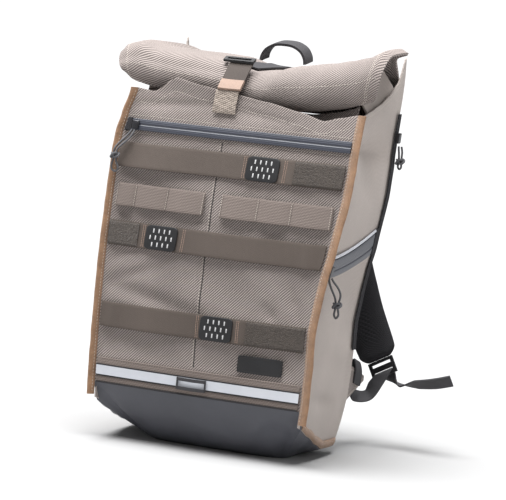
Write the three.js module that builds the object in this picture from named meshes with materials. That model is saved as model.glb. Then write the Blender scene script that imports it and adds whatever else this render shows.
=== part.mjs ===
// A roll-top messenger backpack of sewn panels, standing on its coated bottom.
// Millimetres. The front looks along -Y, the wearer's back is at +Y, and +Z is up.
// The origin is on the floor, under the middle of the bottom.

import * as THREE from 'three';

// Sewn materials and the clearances between them
const GAP = 0.4;
const FABRIC = 2;
const TARP = 2.2;
const WEBBING = 1.8;
const LEATHER = 1.6;
const BACK_PAD = 10;
const ROLL_CLOTH = 3;
const SEAM = 3;

// The body of the pack
const PANEL_HEIGHT = 395;
const FRONT_WIDTH_FOOT = 247;
const FRONT_WIDTH_TOP = 284;
const PACK_DEPTH_FOOT = 141;
const PACK_DEPTH_TOP = 137;
const FRONT_FOOT = -98;
const LEAN = 0.165;
const FRONT_BELLY = 14;
const FRONT_CROWN = 5;
const BACK_TOP = 380;
const TOP_CURL = 0.0035;
const BACK_TUCK = 24;
const BACK_TUCK_HEIGHT = 75;
const SIDE_FOLD = 9;
const SIDE_FOLD_HEIGHT = 0.905;
const SIDE_FOLD_REACH = 24;

// The coated bottom and the floor that it rests on
const TARP_TOP = 63;
const BACK_RIM = 12;
const BASE_WIDTH = 168;
const BASE_DEPTH = 76;
const BASE_BACK_INSET = 3;
const BASE_SHIFT = 11;

// The rolled top
const ROLL_DROP = 8;
const ROLL_SEAT = PANEL_HEIGHT - ROLL_DROP;
const ROLL_HEIGHT = 42;
const ROLL_DEPTH = 122;
const ROLL_REACH_LEFT = 178;
const ROLL_REACH_RIGHT = 165;
const ROLL_CORE_REACH = 108;

// Straps, rows and trims on the front, each by its lower edge
const STRAP_WIDTH = 28;
const UPPER_STRAP = 308;
const MIDDLE_STRAP = 219.5;
const LOWER_STRAP = 127.8;
const TAB_LENGTH = 39;
const TAB_THICK = 2.4;
const PATCH_THICK = 1.6;
const LOOP_ROW = 264;
const LOOP_ROW_WIDTH = 26;
const LOOP_RISE = 3.6;
const HEM_FOOT = TARP_TOP + GAP;
const HEM_WIDTH = 29;
const TAPE_WIDTH = 10.4;
const TAPE_LIFT = 10;
const TAPE_THICK = 0.8;
const LAMP_LOOP_LEFT = -22;
const LAMP_LOOP_WIDTH = 36;
const LAMP_LOOP_RISE = 2.16;
const LABEL_WIDTH = 53;
const LABEL_HEIGHT = 19;
const LABEL_SHARE = 0.34;
const LABEL_ROOM = LOWER_STRAP - (HEM_FOOT + HEM_WIDTH) - LABEL_HEIGHT;
const LABEL_FOOT = HEM_FOOT + HEM_WIDTH + LABEL_SHARE * LABEL_ROOM;
const LABEL_LEFT = 47.5;
const FRONT_ZIP_DROP = 45.5;
const FRONT_ZIP = PANEL_HEIGHT - FRONT_ZIP_DROP;
const FRONT_ZIP_START = -127;
const FRONT_SLIDER = 8.5;
const ZIP_WIDTH = 13;
const ZIP_THICK = 1.6;
const GARAGE_THICK = 2.6;
const SLIDER_THICK = 4;

// Side pocket zip, carrying parts and cords
const SIDE_ZIP_FRONT = 230;
const SIDE_ZIP_RISE = 30;
const SIDE_ZIP_WIDTH = 20;
const SIDE_ZIP_SPREAD = 7;
const SIDE_SLIDER = 12;
const SIDE_SLIDER_THICK = 5;
const STOP_THICK = 3;
const PIPING = 4;
const BACK_ZIP_WIDTH = 9;
const BACK_ZIP_THICK = 1.4;
const BACK_ZIP_EDGE = 0.993;
const BINDING_LENGTH = 8;
const BINDING_THICK = 4;
const HANDLE_SPAN = 56;
const HANDLE_RISE = 21;
const HANDLE_WIDTH = 24;
const HANDLE_THICK = 3;
const PAD_WIDTH = 62;
const PAD_END_WIDTH = 46;
const PAD_THICK = 10;
const LOWER_WEBBING = 22;
const WING_HEIGHT = 42;
const WING_FOOT = 58;
const WING_REACH = 58;
const WING_THICK = 3;
const CORD = 2.4;
const KNOT_HEIGHT = 7;

const { lerp, clamp, degToRad } = THREE.MathUtils;
const vec = (x, y, z) => new THREE.Vector3(x, y, z);

// Cord routes, chosen by hand, from the slider down through the knot and back up
const FRONT_CORD_ROUTE = [
  [-123.8, -52.5, 350.0], [-125.6, -54.6, 346.0], [-128.8, -57.4, 341.0], [-132.2, -60.2, 336.5],
  [-135.4, -63.0, 332.0], [-137.4, -65.2, 328.0], [-138.0, -66.2, 324.0], [-138.0, -66.4, 320.0],
  [-138.0, -66.4, 316.0], [-138.6, -66.6, 312.0], [-139.4, -66.8, 307.5], [-138.2, -66.8, 303.4],
  [-134.8, -66.8, 301.6], [-131.6, -66.8, 303.4], [-131.4, -66.8, 307.5], [-133.4, -66.6, 312.0],
  [-134.8, -66.4, 316.0], [-134.8, -66.4, 320.0], [-134.8, -66.2, 324.0], [-133.6, -65.2, 328.0],
  [-130.6, -63.0, 332.0], [-126.8, -60.2, 336.5], [-123.4, -57.4, 341.0], [-121.2, -54.6, 346.0],
  [-120.4, -52.5, 350.0],
];
const SIDE_CORD_ROUTE = [
  [134.9, -63.4, 211.5], [135.2, -63.1, 208.0], [136.0, -62.2, 204.5], [137.2, -60.9, 200.5],
  [138.6, -59.2, 196.6], [140.0, -57.4, 192.8], [141.3, -56.2, 189.0], [142.0, -55.4, 185.0],
  [142.2, -55.2, 181.0], [142.2, -55.2, 177.0], [141.6, -55.2, 173.5], [141.4, -55.2, 170.0],
  [143.8, -55.2, 166.8], [146.4, -55.2, 170.0], [146.2, -55.2, 173.5], [145.4, -55.2, 177.0],
  [145.4, -55.2, 181.0], [145.8, -55.4, 185.0], [147.2, -56.2, 189.0], [147.9, -57.4, 193.0],
  [147.4, -59.0, 197.0], [145.6, -60.6, 201.0], [142.6, -61.9, 205.0], [139.8, -62.9, 208.4],
  [138.3, -63.4, 211.5],
];
const BACK_CORD_ROUTE = [
  [148.0, 91.4, 354.5], [148.2, 91.6, 351.0], [148.6, 92.0, 347.5], [148.8, 92.4, 344.0],
  [149.0, 92.6, 340.5], [149.0, 92.6, 337.0], [148.8, 92.6, 333.5], [148.6, 92.6, 330.5],
  [150.6, 92.6, 328.2], [152.6, 92.6, 330.5], [152.4, 92.6, 333.5], [152.2, 92.6, 337.0],
  [152.2, 92.6, 340.5], [152.4, 92.4, 344.0], [152.6, 92.0, 347.5], [152.2, 91.6, 351.0],
  [151.4, 91.4, 354.5],
];

// Colours by finish
const FINISHES = {
  twill: { color: 0x94897f, roughness: 0.85 },
  gusset: { color: 0xa89c92, roughness: 0.8 },
  suede: { color: 0x8a6a52, roughness: 0.9 },
  elastic: { color: 0x6e635b, roughness: 0.85 },
  pile: { color: 0x5e544b, roughness: 1 },
  ribbon: { color: 0x9a8f86, roughness: 0.85 },
  rubber: { color: 0x1d1d1f, roughness: 0.5 },
  reflective: { color: 0xd9dcde, roughness: 0.3 },
  coatedZip: { color: 0x3c414c, roughness: 0.35 },
  tarpaulin: { color: 0x55565b, roughness: 0.45 },
  blackCloth: { color: 0x26262a, roughness: 0.9 },
  webbing: { color: 0x3a3a3d, roughness: 0.8 },
  metal: { color: 0xb9bbbe, roughness: 0.35, metalness: 0.9 },
  cream: { color: 0xb9ad9f, roughness: 0.95 },
  tan: { color: 0xa48c7c, roughness: 0.85 },
};

const pack = new THREE.Group();

function add(name, geometry, finish) {
  const mesh = new THREE.Mesh(geometry, new THREE.MeshStandardMaterial(FINISHES[finish]));
  mesh.name = name;
  pack.add(mesh);
  return mesh;
}

// A table is read at a place between its rows, with a smooth step from row to row
function read(table, column, at) {
  const last = table.length - 1;
  if (at <= table[0].at) {
    return table[0][column];
  }
  for (let i = 0; i < last; i += 1) {
    if (at <= table[i + 1].at) {
      const share = (at - table[i].at) / (table[i + 1].at - table[i].at);
      const eased = share * share * (3 - 2 * share);
      return lerp(table[i][column], table[i + 1][column], lerp(share, eased, 0.5));
    }
  }
  return table[last][column];
}

// Closed solids

function signedVolume(positions, index) {
  let volume = 0;
  for (let i = 0; i < index.length; i += 3) {
    const [a, b, c] = [0, 1, 2].map((k) => vec().fromArray(positions, index[i + k] * 3));
    volume += a.dot(b.cross(c)) / 6;
  }
  return volume;
}

function closed(positions, index) {
  const facing = signedVolume(positions, index) > 0 ? index : [...index].reverse();
  const geometry = new THREE.BufferGeometry();
  geometry.setAttribute('position', new THREE.Float32BufferAttribute(positions, 3));
  geometry.setIndex(facing);
  geometry.computeVertexNormals();
  return geometry;
}

const quad = (index, a, b, c, d) => index.push(a, b, c, a, c, d);

// A sewn sheet between an outer and an inner skin, each read over a unit square
function sheet(face, lining, across, along) {
  const positions = [];
  const index = [];
  const row = across + 1;
  const lay = (skin) => {
    const first = positions.length / 3;
    for (let j = 0; j <= along; j += 1) {
      for (let i = 0; i <= across; i += 1) {
        positions.push(...skin(i / across, j / along).toArray());
      }
    }
    return first;
  };
  const outer = lay(face);
  const inner = lay(lining) - outer;
  const corner = (i, j) => outer + j * row + i;
  for (let j = 0; j < along; j += 1) {
    for (let i = 0; i < across; i += 1) {
      const [a, b, c, d] = [corner(i, j), corner(i + 1, j), corner(i + 1, j + 1), corner(i, j + 1)];
      quad(index, a, b, c, d);
      quad(index, a + inner, d + inner, c + inner, b + inner);
    }
  }
  const hem = (a, b) => quad(index, b, a, a + inner, b + inner);
  for (let i = 0; i < across; i += 1) {
    hem(corner(i, 0), corner(i + 1, 0));
    hem(corner(i + 1, along), corner(i, along));
  }
  for (let j = 0; j < along; j += 1) {
    hem(corner(0, j + 1), corner(0, j));
    hem(corner(across, j), corner(across, j + 1));
  }
  return closed(positions, index);
}

// A bar through a run of sections, closed by a cap at each end
function loft(section, steps) {
  const rings = Array.from({ length: steps + 1 }, (_, i) => section(i / steps));
  const sides = rings[0].length;
  const positions = rings.flat().flatMap((point) => point.toArray());
  const index = [];
  for (let j = 0; j < steps; j += 1) {
    for (let i = 0; i < sides; i += 1) {
      const next = (i + 1) % sides;
      quad(index, j * sides + i, j * sides + next, (j + 1) * sides + next, (j + 1) * sides + i);
    }
  }
  const cap = (first, turned) => {
    for (let i = 1; i < sides - 1; i += 1) {
      index.push(...(turned ? [first, first + i + 1, first + i] : [first, first + i, first + i + 1]));
    }
  };
  cap(0, true);
  cap(steps * sides, false);
  return closed(positions, index);
}

// A bowl with a wall: rings run from the rim down to the flat floor
function bowl(outer, inner, around, levels) {
  const positions = [];
  const index = [];
  const lay = (skin) => {
    const first = positions.length / 3;
    const middle = vec(0, 0, 0);
    for (let level = 0; level <= levels; level += 1) {
      for (let i = 0; i < around; i += 1) {
        const point = skin(i, level / levels);
        positions.push(...point.toArray());
        if (level === levels) {
          middle.addScaledVector(point, 1 / around);
        }
      }
    }
    positions.push(...middle.toArray());
    return first;
  };
  const skins = [[lay(outer), false], [lay(inner), true]];
  skins.forEach(([first, turned]) => {
    const centre = first + (levels + 1) * around;
    for (let i = 0; i < around; i += 1) {
      const next = (i + 1) % around;
      for (let level = 0; level < levels; level += 1) {
        const upper = first + level * around;
        const lower = upper + around;
        const corners = [upper + i, lower + i, lower + next, upper + next];
        quad(index, ...(turned ? corners.reverse() : corners));
      }
      const edge = [first + levels * around + i, centre, first + levels * around + next];
      index.push(...(turned ? edge.reverse() : edge));
    }
  });
  const [rimOuter, rimInner] = [skins[0][0], skins[1][0]];
  for (let i = 0; i < around; i += 1) {
    const next = (i + 1) % around;
    quad(index, rimOuter + i, rimOuter + next, rimInner + next, rimInner + i);
  }
  return closed(positions, index);
}

// A flat strap along a smooth run of stations, each with its place and its width's direction
function ribbon(stations, width, thick, steps) {
  const places = new THREE.CatmullRomCurve3(stations.map((station) => station.at), false, 'centripetal');
  const count = stations.length - 1;
  const across = (t) => {
    const at = clamp(t * count, 0, count - 1e-6);
    const i = Math.floor(at);
    return stations[i].across.clone().lerp(stations[i + 1].across, at - i).normalize();
  };
  const skin = (side) => (u, v) => {
    const tangent = places.getTangent(v);
    const wide = across(v);
    const out = tangent.clone().cross(wide).normalize();
    return places.getPoint(v)
      .addScaledVector(wide, (u - 0.5) * width)
      .addScaledVector(out, side * thick / 2);
  };
  return sheet(skin(1), skin(-1), 1, steps);
}

function cordTube(route) {
  const sides = 8;
  const points = Array.from({ length: sides }, (_, i) => {
    const turn = 2 * Math.PI * (i + 0.5) / sides;
    return new THREE.Vector2(Math.cos(turn) * CORD / 2, Math.sin(turn) * CORD / 2);
  });
  const path = new THREE.CatmullRomCurve3(route.map((point) => vec(...point)));
  const steps = Math.round(path.getLength() / (2.4 * CORD));
  const section = new THREE.Shape(points);
  return new THREE.ExtrudeGeometry(section, { steps, extrudePath: path, bevelEnabled: false });
}

// The skins of the body

function frontY(z) {
  const share = clamp(z / PANEL_HEIGHT, 0, 1);
  return FRONT_FOOT + LEAN * z - FRONT_BELLY * Math.sin(Math.PI * share);
}

function backY(z) {
  const above = Math.max(z - PANEL_HEIGHT, 0);
  const under = Math.max(1 - z / BACK_TUCK_HEIGHT, 0);
  const depth = lerp(PACK_DEPTH_FOOT, PACK_DEPTH_TOP, clamp(z / PANEL_HEIGHT, 0, 1));
  return FRONT_FOOT + depth + LEAN * z - TOP_CURL * above ** 2 - BACK_TUCK * under ** 2;
}

// The seams sway a little, as shares of the half width
const SEAM_SWAY = [
  { at: 0.17, left: 0, right: 0 }, { at: 0.28, left: 0, right: -0.017 },
  { at: 0.38, left: 0, right: -0.046 }, { at: 0.46, left: 0, right: -0.038 },
  { at: 0.53, left: 0, right: -0.025 }, { at: 0.6, left: 0, right: 0 },
  { at: 0.75, left: 0, right: 0.026 }, { at: 0.83, left: 0, right: 0.02 },
  { at: 0.87, left: -0.005, right: 0.01 },
  { at: 0.93, left: -0.035, right: 0.003 }, { at: 1, left: -0.085, right: 0 },
];

function halfWidth(z, side = 1) {
  const height = z / PANEL_HEIGHT;
  const sway = read(SEAM_SWAY, side < 0 ? 'left' : 'right', height);
  return lerp(FRONT_WIDTH_FOOT, FRONT_WIDTH_TOP, height) / 2 * (1 + sway);
}

const innerHalf = (z, side = 1) => halfWidth(z, side) - FABRIC - GAP;

function frontSkin(x, z, lift) {
  const share = clamp(x / halfWidth(z, x), -1, 1);
  const height = clamp(z / PANEL_HEIGHT, 0, 1);
  const crown = FRONT_CROWN * (1 - share * share) * Math.sin(Math.PI * height);
  return vec(x, frontY(z) - crown - lift, z);
}

function sideDent(share, z) {
  const line = (SIDE_FOLD_HEIGHT - 0.04 * share) * PANEL_HEIGHT;
  const off = (z - line) / SIDE_FOLD_REACH;
  return SIDE_FOLD * Math.exp(-off * off) * Math.sin(Math.PI * clamp(share, 0, 1)) ** 2;
}

function sideSkin(side, share, z, lift) {
  const y = lerp(frontY(z) + SEAM, backY(z), share);
  return vec(side * (halfWidth(z, side) - sideDent(share, z) + lift), y, z);
}

// The pocket's lip, as shares of the panel's height, from the left seam to the right one
const LIP = [
  { at: -1, up: 1.006 }, { at: -0.84, up: 1.0 }, { at: -0.64, up: 1.046 }, { at: -0.38, up: 1.03 },
  { at: -0.12, up: 1.018 }, { at: 0.22, up: 1.002 }, { at: 0.52, up: 0.984 }, { at: 0.72, up: 0.966 },
  { at: 0.86, up: 0.98 }, { at: 1, up: 0.992 },
];

// The side panel's lower and upper edges, from the front seam to the back
const SIDE_EDGES = [
  { at: 0, low: 0.114, high: 0.972 }, { at: 0.27, low: 0.076, high: 1.0 },
  { at: 0.47, low: 0.048, high: 1.018 }, { at: 0.67, low: 0.028, high: 1.044 },
  { at: 0.85, low: 0.026, high: 1.078 }, { at: 1, low: 0.026, high: 1.155 },
];
const sideLow = (share) => PANEL_HEIGHT * read(SIDE_EDGES, 'low', share);
const sideHigh = (share) => PANEL_HEIGHT * read(SIDE_EDGES, 'high', share);

function frontPanel() {
  const across = 18;
  const along = 16;
  const skin = (lift) => (u, v) => {
    const share = 2 * u - 1;
    const z = lerp(TARP_TOP + GAP, PANEL_HEIGHT * read(LIP, 'up', share), v);
    return frontSkin(share * (halfWidth(z, share) - GAP), z, lift);
  };
  return sheet(skin(0), skin(-FABRIC), across, along);
}

function sidePanel(side) {
  const skin = (lift) => (u, v) => sideSkin(side, u, lerp(sideLow(u), sideHigh(u), v), lift);
  return sheet(skin(0), skin(-FABRIC), 8, 18);
}

function backPanel() {
  const skin = (depth) => (u, v) => {
    const z = lerp(BACK_RIM + GAP, BACK_TOP, v);
    const share = 2 * u - 1;
    return vec(share * (innerHalf(z, share) - 3 * GAP), backY(z) - depth, z);
  };
  return sheet(skin(0), skin(BACK_PAD), 6, 10);
}

// The coated bottom: its rim follows the panels, and its floor is a rounded rectangle
function boot() {
  const counts = { front: 12, side: 8, back: 8 };
  const rims = [];
  const rim = (x, y, z, px, py) => rims.push({ x, y, z, px, py });
  for (let i = 0; i <= counts.front; i += 1) {
    const share = 2 * i / counts.front - 1;
    const place = frontSkin(share * halfWidth(TARP_TOP, share), TARP_TOP, 0);
    rim(place.x, place.y, TARP_TOP, share, -1);
  }
  const sideRim = (side, i) => {
    const share = Math.max(i, 0.16) / counts.side;
    const z = sideLow(share) - GAP;
    rim(side * halfWidth(z, side), lerp(frontY(z), backY(z), share), z, side, 2 * share - 1);
  };
  for (let i = 0; i < counts.side; i += 1) {
    sideRim(1, i);
  }
  for (let i = 0; i <= counts.back; i += 1) {
    const share = 1 - 2 * i / counts.back;
    rim(share * halfWidth(BACK_RIM, share), backY(BACK_RIM), Math.min(BACK_RIM, sideLow(1)) - GAP, share, 1);
  }
  for (let i = counts.side - 1; i >= 0; i -= 1) {
    sideRim(-1, i);
  }
  const baseMiddle = backY(BACK_RIM) - BASE_BACK_INSET - BASE_DEPTH / 2;
  const skin = (wall) => (i, t) => {
    const { x, y, z, px, py } = rims[i];
    const round = 1 / (Math.abs(px) ** 7 + Math.abs(py) ** 7) ** (1 / 7);
    const footX = BASE_SHIFT + px * round * BASE_WIDTH / 2;
    const foot = vec(footX, baseMiddle + py * round * BASE_DEPTH / 2, wall);
    const inward = (share) => (Math.abs(share) === 1 ? Math.sign(share) * wall : 0);
    const fall = Math.sin(t * Math.PI / 2);
    const chamfer = lerp(0.35, 0.9, px ** 4);
    const reach = lerp(Math.cos(t * Math.PI / 2), 1 - fall, chamfer);
    const across = lerp(foot.x, x - inward(px), reach);
    return vec(across, lerp(foot.y, y - inward(py), reach), lerp(z, wall, fall));
  };
  return bowl(skin(0), skin(TARP), rims.length, 5);
}

// The roll: its section goes from the back panel's top, over the crest, down the front,
// under and once round inside. Depth and height are shares, reach goes from the panel to the ends.
const ROLL_SECTION = [
  { depth: 0.985, high: -0.14, follow: 0, sag: 0, reach: 0 },
  { depth: 0.985, high: 0.6, follow: 0.1, sag: 0, reach: 0 },
  { depth: 0.92, high: 0.92, follow: 0.3, sag: 0, reach: 0 },
  { depth: 0.78, high: 1.02, follow: 0.72, sag: 0, reach: 0.12 },
  { depth: 0.59, high: 1.02, follow: 0.95, sag: 0, reach: 0.92 },
  { depth: 0.34, high: 0.98, follow: 1, sag: 0, reach: 1 },
  { depth: 0.15, high: 0.9, follow: 0.95, sag: 0.05, reach: 0.86 },
  { depth: 0.03, high: 0.64, follow: 0.7, sag: 0.2, reach: 0.74 },
  { depth: 0, high: 0.33, follow: 0.35, sag: 0.6, reach: 0.64 },
  { depth: 0.03, high: 0.08, follow: 0.1, sag: 0.95, reach: 0.5 },
  { depth: 0.13, high: 0, follow: 0, sag: 1, reach: -0.8 },
  { depth: 0.28, high: 0, follow: 0, sag: 1, reach: -1 },
  { depth: 0.44, high: 0.08, follow: 0.05, sag: 0.9, reach: -1 },
  { depth: 0.57, high: 0.3, follow: 0.2, sag: 0.7, reach: -1 },
  { depth: 0.6, high: 0.57, follow: 0.45, sag: 0.4, reach: -1 },
  { depth: 0.5, high: 0.76, follow: 0.6, sag: 0.2, reach: -1 },
  { depth: 0.35, high: 0.79, follow: 0.6, sag: 0.2, reach: -1 },
  { depth: 0.21, high: 0.67, follow: 0.5, sag: 0.3, reach: -1 },
  { depth: 0.17, high: 0.43, follow: 0.3, sag: 0.6, reach: -1 },
  { depth: 0.24, high: 0.27, follow: 0.2, sag: 0.7, reach: -1 },
  { depth: 0.37, high: 0.26, follow: 0.2, sag: 0.7, reach: -1 },
];

// How far the crest lifts and the underside sags up, from the left end to the right one
const ROLL_ENDS = [
  { at: -1, crest: 0.16, foot: 0.55 }, { at: -0.95, crest: 0.38, foot: 0.35 },
  { at: -0.85, crest: 0.5, foot: 0.27 }, { at: -0.72, crest: 0.34, foot: 0.22 },
  { at: -0.5, crest: 0.31, foot: 0.12 }, { at: -0.25, crest: 0.26, foot: 0.04 },
  { at: 0, crest: 0, foot: 0 }, { at: 0.1, crest: -0.02, foot: 0 },
  { at: 0.25, crest: 0.17, foot: 0.01 }, { at: 0.48, crest: 0.33, foot: 0.03 },
  { at: 0.62, crest: 0.45, foot: 0.06 }, { at: 0.8, crest: 0.62, foot: 0.16 },
  { at: 0.95, crest: 0.9, foot: 0.3 }, { at: 1, crest: 0.8, foot: 0.38 },
];
const rollBack = backY(ROLL_SEAT) + 1;

function rollRow(row, u) {
  const { depth, high, follow, sag, reach } = ROLL_SECTION[row];
  const body = innerHalf(PANEL_HEIGHT, u) - 2 * GAP;
  const full = u < 0 ? ROLL_REACH_LEFT : ROLL_REACH_RIGHT;
  const half = reach < 0 ? lerp(body, ROLL_CORE_REACH, -reach) : lerp(body, full, reach);
  const rise = high + follow * read(ROLL_ENDS, 'crest', u) + sag * read(ROLL_ENDS, 'foot', u);
  const z = ROLL_SEAT + ROLL_HEIGHT * rise;
  return vec(u * half, rollBack - ROLL_DEPTH * (1 - depth), z);
}

// The roll's middle line at one place across, as a curve, and its skin at a distance from it
function rollSkin(u, share, lift) {
  const rows = ROLL_SECTION.map((_, row) => rollRow(row, u));
  const curve = new THREE.CatmullRomCurve3(rows, false, 'centripetal');
  const tangent = curve.getTangent(share);
  const out = vec(0, -tangent.z, tangent.y).normalize();
  return curve.getPoint(share).addScaledVector(out, lift);
}

const ROLL_STEPS = 24;

function rollTop() {
  const places = [-1, -0.95, -0.85, -0.72, -0.5, -0.25, 0, 0.1, 0.25, 0.48, 0.62, 0.8, 0.95, 1];
  const skin = (lift) => (u, v) => rollSkin(places[Math.round(u * (places.length - 1))], v, lift);
  return sheet(skin(-ROLL_CLOTH / 2), skin(ROLL_CLOTH / 2), places.length - 1, ROLL_STEPS);
}

// The hidden front of the main compartment, from behind the pocket up to the roll
function throatPanel() {
  const foot = PANEL_HEIGHT * 0.86;
  const skin = (lift) => (u, v) => {
    const share = 2 * u - 1;
    const under = rollRow(10, share);
    const half = innerHalf(foot, share) - SIDE_FOLD + GAP;
    const top = vec(share * half, under.y, under.z - ROLL_CLOTH);
    const low = vec(share * half, frontY(foot) + FABRIC + FRONT_BELLY, foot);
    return low.lerp(top, v).add(vec(0, -lift, 0));
  };
  return sheet(skin(0), skin(-FABRIC), 8, 3);
}

// The gusset is folded in above the side panel's upper edge
function gusset(side) {
  const skin = (lift) => (u, v) => {
    const share = lerp(0.26, 0.8, u);
    const edge = sideHigh(share);
    const z = edge + lerp(-7, 17, v);
    const lean = 2 * GAP + Math.max(v - 0.2, 0) * 18;
    const y = lerp(frontY(edge) + SEAM, backY(edge), share);
    const room = Math.min(innerHalf(edge, side), innerHalf(z, side));
    return vec(side * (room - sideDent(share, z) - lean - lift), y, z);
  };
  return sheet(skin(0), skin(FABRIC), 6, 3);
}

// Folded bindings stand out from the front seams
function seamBinding(side) {
  const top = PANEL_HEIGHT * read(LIP, 'up', side);
  const foot = TARP_TOP - 14;
  const out = vec(side * 0.78, -0.63, 0);
  const flat = vec(side * 0.63, 0.78, 0);
  const section = (t) => {
    const z = lerp(foot, top, t);
    const seam = vec(side * halfWidth(z, side), frontY(z), z);
    const at = (length, thick) => seam.clone().addScaledVector(out, length).addScaledVector(flat, thick);
    const half = BINDING_THICK / 2;
    return [
      at(GAP, -half * 0.6), at(GAP, half * 0.6), at(BINDING_LENGTH * 0.6, half),
      at(BINDING_LENGTH, half * 0.55), at(BINDING_LENGTH, -half * 0.55), at(BINDING_LENGTH * 0.6, -half),
    ];
  };
  return loft(section, 20);
}

function sidePatch(side, from, to, low, high, lift, thick, across, along = 1) {
  const skin = (out) => (u, v) => {
    const share = lerp(from, to, u);
    return sideSkin(side, share, lerp(low(share), high(share), v), out);
  };
  return sheet(skin(lift + thick), skin(lift), across, along);
}

const BOOT_BINDING = 9;
const bootBinding = (side) => sidePatch(
  side, 0.06, 0.97, sideLow, (share) => sideLow(share) + BOOT_BINDING, GAP, LEATHER, 8,
);

// Flat things on the front panel: lengths along x, heights along z
function frontPatch(left, right, low, high, lift, thick, across, along = 2) {
  const skin = (out) => (u, v) => {
    const z = lerp(low, high, v);
    const near = Math.max(left, SEAM - halfWidth(z, -1));
    const x = lerp(near, Math.min(right, halfWidth(z) - SEAM), u);
    return frontSkin(x, z, out(x));
  };
  const rise = typeof lift === 'function' ? lift : () => lift;
  return sheet(skin((x) => rise(x) + thick), skin(rise), across, along);
}

const FULL = FRONT_WIDTH_TOP;
const strapLift = GAP;
const overStrap = strapLift + WEBBING + GAP;
const STRAPS = [
  { name: 'upper', foot: UPPER_STRAP, tab: 23.5, patchFrom: 80.5, patchTo: FULL },
  { name: 'middle', foot: MIDDLE_STRAP, tab: -83.5, patchFrom: -FULL, patchTo: -93.5 },
  { name: 'lower', foot: LOWER_STRAP, tab: -1.5, patchFrom: 53.5, patchTo: FULL },
];

function addStraps() {
  STRAPS.forEach(({ name, foot, tab, patchFrom, patchTo }) => {
    const top = foot + STRAP_WIDTH;
    const tabEnd = tab + TAB_LENGTH;
    const tabPatch = frontPatch(tab, tabEnd, foot + 0.5, top - 0.5, overStrap, TAB_THICK, 3);
    const pilePatch = frontPatch(patchFrom, patchTo, foot + 1, top - 1, overStrap, PATCH_THICK, 4);
    add(`${name}_strap`, frontPatch(-FULL, FULL, foot, top, strapLift, WEBBING, 16), 'elastic');
    add(`${name}_tab`, tabPatch, 'rubber');
    add(`${name}_patch`, pilePatch, 'pile');
  });
}

const labelPatch = () => frontPatch(
  LABEL_LEFT, LABEL_LEFT + LABEL_WIDTH, LABEL_FOOT, LABEL_FOOT + LABEL_HEIGHT, GAP, PATCH_THICK, 4,
);

// Rows of webbing loops: the webbing rises between its stitches
const LOOP_ROWS = [
  { name: 'loop_row_left', stitches: [-134, -105.5, -65.5, -19.5] },
  { name: 'loop_row_right', stitches: [0.5, 45.5, 85.5, 134] },
];

function loopRow({ stitches }) {
  const near = 2 * SEAM - halfWidth(LOOP_ROW, -1);
  const far = halfWidth(LOOP_ROW) - SEAM;
  const places = stitches.map((x) => clamp(x, near, far));
  const rise = (x) => {
    const after = places.findIndex((place) => place >= x);
    const i = Math.max(after, 1);
    const share = clamp((x - places[i - 1]) / (places[i] - places[i - 1]), 0, 1);
    return GAP + LOOP_RISE * Math.sin(Math.PI * share) ** 0.6;
  };
  const top = LOOP_ROW + LOOP_ROW_WIDTH;
  return frontPatch(places[0], places[3], LOOP_ROW, top, rise, WEBBING, 24);
}

// The hem over the coated bottom's edge, its bright tape and the small loop for a lamp
function addHem() {
  const tapeFoot = TARP_TOP + TAPE_LIFT;
  const tapeTop = tapeFoot + TAPE_WIDTH;
  add('hem_band', frontPatch(-FULL, FULL, HEM_FOOT, HEM_FOOT + HEM_WIDTH, GAP, LEATHER, 14), 'ribbon');
  const over = GAP + LEATHER + GAP;
  const tape = frontPatch(-FULL, FULL, tapeFoot, tapeTop, over, TAPE_THICK, 14, 1);
  add('reflective_tape', tape, 'reflective');
  const loopEnd = LAMP_LOOP_LEFT + LAMP_LOOP_WIDTH;
  const rise = (x) => {
    const share = clamp((x - LAMP_LOOP_LEFT) / LAMP_LOOP_WIDTH, 0, 1);
    return over + TAPE_THICK + GAP + LAMP_LOOP_RISE * Math.max(Math.sin(Math.PI * share), 0);
  };
  const loop = frontPatch(LAMP_LOOP_LEFT, loopEnd, tapeFoot - 3, tapeTop - 2, rise, WEBBING, 6, 1);
  add('light_loop', loop, 'webbing');
}

function addFrontZip() {
  const top = FRONT_ZIP + ZIP_WIDTH;
  add('front_zip', frontPatch(FRONT_ZIP_START, FULL, FRONT_ZIP, top, GAP, ZIP_THICK, 16), 'coatedZip');
  const garageEnd = FRONT_ZIP_START - GAP;
  const garage = frontPatch(-FULL, garageEnd, FRONT_ZIP - 1, top + 1, GAP, GARAGE_THICK, 3);
  add('front_zip_garage', garage, 'blackCloth');
  const lift = GAP + ZIP_THICK + GAP;
  const middle = FRONT_ZIP + ZIP_WIDTH / 2;
  const start = FRONT_ZIP_START + 1;
  const end = start + FRONT_SLIDER;
  add('front_zip_slider', frontPatch(start, end, middle - 5, middle + 5, lift, SLIDER_THICK, 2), 'metal');
  add('front_zip_cord', cordTube(FRONT_CORD_ROUTE), 'webbing');
  add('front_zip_knot', knot(FRONT_CORD_ROUTE, 7, 0), 'webbing');
}

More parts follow.
